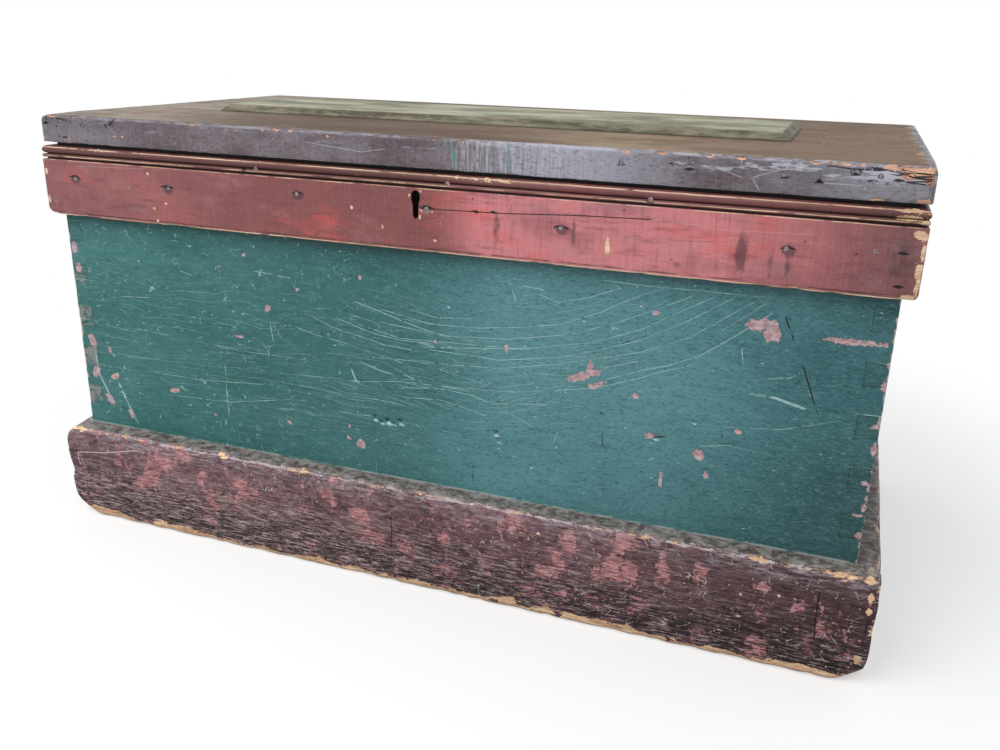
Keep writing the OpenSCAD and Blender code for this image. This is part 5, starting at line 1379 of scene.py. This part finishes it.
def drive_nails(name, places, facings, reach, finish, body):
    mesh = bpy.data.meshes.new(name)
    mesh.from_pydata(places, [], [])
    field = mesh.attributes.new("facing", "FLOAT_VECTOR", "POINT")
    field.data.foreach_set("vector", [c for facing in facings for c in facing])
    sizes = dict(zip(NAIL_SIZES, (NAIL_HEAD_R, NAIL_HEAD_T, NAIL_SINK, NAIL_R, reach, NAIL_POINT, 0.05)))
    piece = run_tree(name + "_old", mesh, nail_group, nail_keys, {**sizes, "Iron": finish})
    piece.data.transform(Matrix.Scale(MM, 4))
    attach(piece, body)
    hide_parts(name)


nail_group, nail_keys = nail_tree()
for name, paint, spots, out_y, out_x, reach, tint, body in (
        ("band", "red", band_spots, HALF_D + BAND_T, HALF_L + BAND_T, BAND_T + 5.5,
         (0.27, 0.22, 0.23), "chest"),
        ("rim", "brown", rim_spots, LID_FRONT + RIM_T, LID_HALF_L + RIM_T, RIM_T + 15,
         (0.2, 0.18, 0.19), "lid"),
        ("plinth", "maroon", plinth_spots, HALF_D + PLINTH_T, HALF_L + PLINTH_T, PLINTH_T + 15,
         (0.12, 0.065, 0.072), "chest")):
    places, facings = side_places(spots, (out_y, out_x))
    drive_nails(name + "_nails", places, facings, reach, iron("nail_in_" + paint, tint), body)
edge_x, edge_y, board_w = HALF_L - CASE_T / 2, HALF_D - CASE_T / 2, 2 * HALF_D / 3
bottom_spots = [(x, -HALF_D + (k + 0.5 + s) * board_w, BOTTOM_Z)
                for x in (-edge_x, edge_x) for k in range(3) for s in (-0.25, 0.25)]
bottom_spots += [(x, y, BOTTOM_Z) for y in (-edge_y, edge_y) for x in spread(5, HALF_L - 110)]
drive_nails("bottom_nails", bottom_spots, [(0, 0, -1)] * len(bottom_spots), 33, dark_iron, "chest")


# Finishes of the pieces that keep their shape
IRON_PAIRS = ("hinge_case_leaf", "hinge_lid_leaf", "hinge_pin", "handle_plate", "handle_eyes", "handle_bail")
IRON_SETS = ("hinge_case_screws", "hinge_lid_screws", "lock_spring", "lock_screws", "link_screws",
             "handle_screws")
FINISHES = {
    pine: ("bottom_boards", "glue_blocks"),
    brown: ("lid_rail_front", "lid_rail_back"),
    brown_cross: ("lid_stile_left", "lid_stile_right"),
    olive: ("lid_panel",),
    lock_brass: ("lock_case", "lock_cap", "lock_bolt", "link_plate"),
    dark_iron: (*IRON_SETS, *(pair + end for pair in IRON_PAIRS for end in ("_left", "_right")))
}
for finish, names in FINISHES.items():
    for name in names:
        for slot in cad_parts[name].material_slots:
            slot.material = finish


# Floor, daylight and lamp
def set_stage():
    world = bpy.data.worlds.new("daylight")
    world.use_nodes = True
    bpy.context.scene.world = world
    t = Tree(world.node_tree)
    world.node_tree.nodes.clear()
    paths = t.node("ShaderNodeLightPath")
    kinds = ("Is Camera Ray", "Is Glossy Ray", "Is Transmission Ray")
    seen = [Wire(t, paths.socket.node.outputs[kind]) for kind in kinds]
    strength = 0.78 + 0.22 * seen[0].most(seen[1]).most(seen[2])
    sky = t.node("ShaderNodeBackground", inputs={"Color": (1, 1, 1, 1), "Strength": strength})
    t.node("ShaderNodeOutputWorld", inputs=[sky])

    mesh = bpy.data.meshes.new("floor")
    reach = 12
    corners = [(x * reach, y * reach, 0) for x, y in ((-1, -1), (1, -1), (1, 1), (-1, 1))]
    mesh.from_pydata(corners, [], [(0, 1, 2, 3)])
    floor = new_piece("floor", mesh)
    f = Finish("floor")
    far = f.vector("LENGTH", f.here, out="Value").step(560, 1100)
    paths = f.node("ShaderNodeLightPath")
    camera = Wire(f, paths.socket.node.outputs["Is Camera Ray"])
    shade = f.mix(camera, (0.55, 0.55, 0.55), (0.97, 0.97, 0.97))
    matt = f.node("ShaderNodeBsdfDiffuse", inputs={"Color": shade})
    white = f.node("ShaderNodeEmission", inputs={"Color": (1, 1, 1, 1), "Strength": 1.0})
    near = f.node("ShaderNodeMixShader", inputs=[camera * 0.45, matt, white])
    both = f.node("ShaderNodeMixShader", inputs=[far * camera, near, white])
    f.node("ShaderNodeOutputMaterial", inputs=[both])
    mesh.materials.append(f.material)

    lamp = bpy.data.lights.new("window", "AREA")
    lamp.shape = "RECTANGLE"
    lamp.size, lamp.size_y = 1.6, 1.2
    lamp.energy = 30
    window = bpy.data.objects.new("window", lamp)
    window.location = (-0.7, -1.6, 1.7)
    window.rotation_euler = (Vector((0, -0.1, 0.25)) - window.location).to_track_quat("-Z", "Y").to_euler()
    bpy.context.scene.collection.objects.link(window)
    bpy.context.scene.view_settings.view_transform = "Standard"


set_camera()
set_stage()
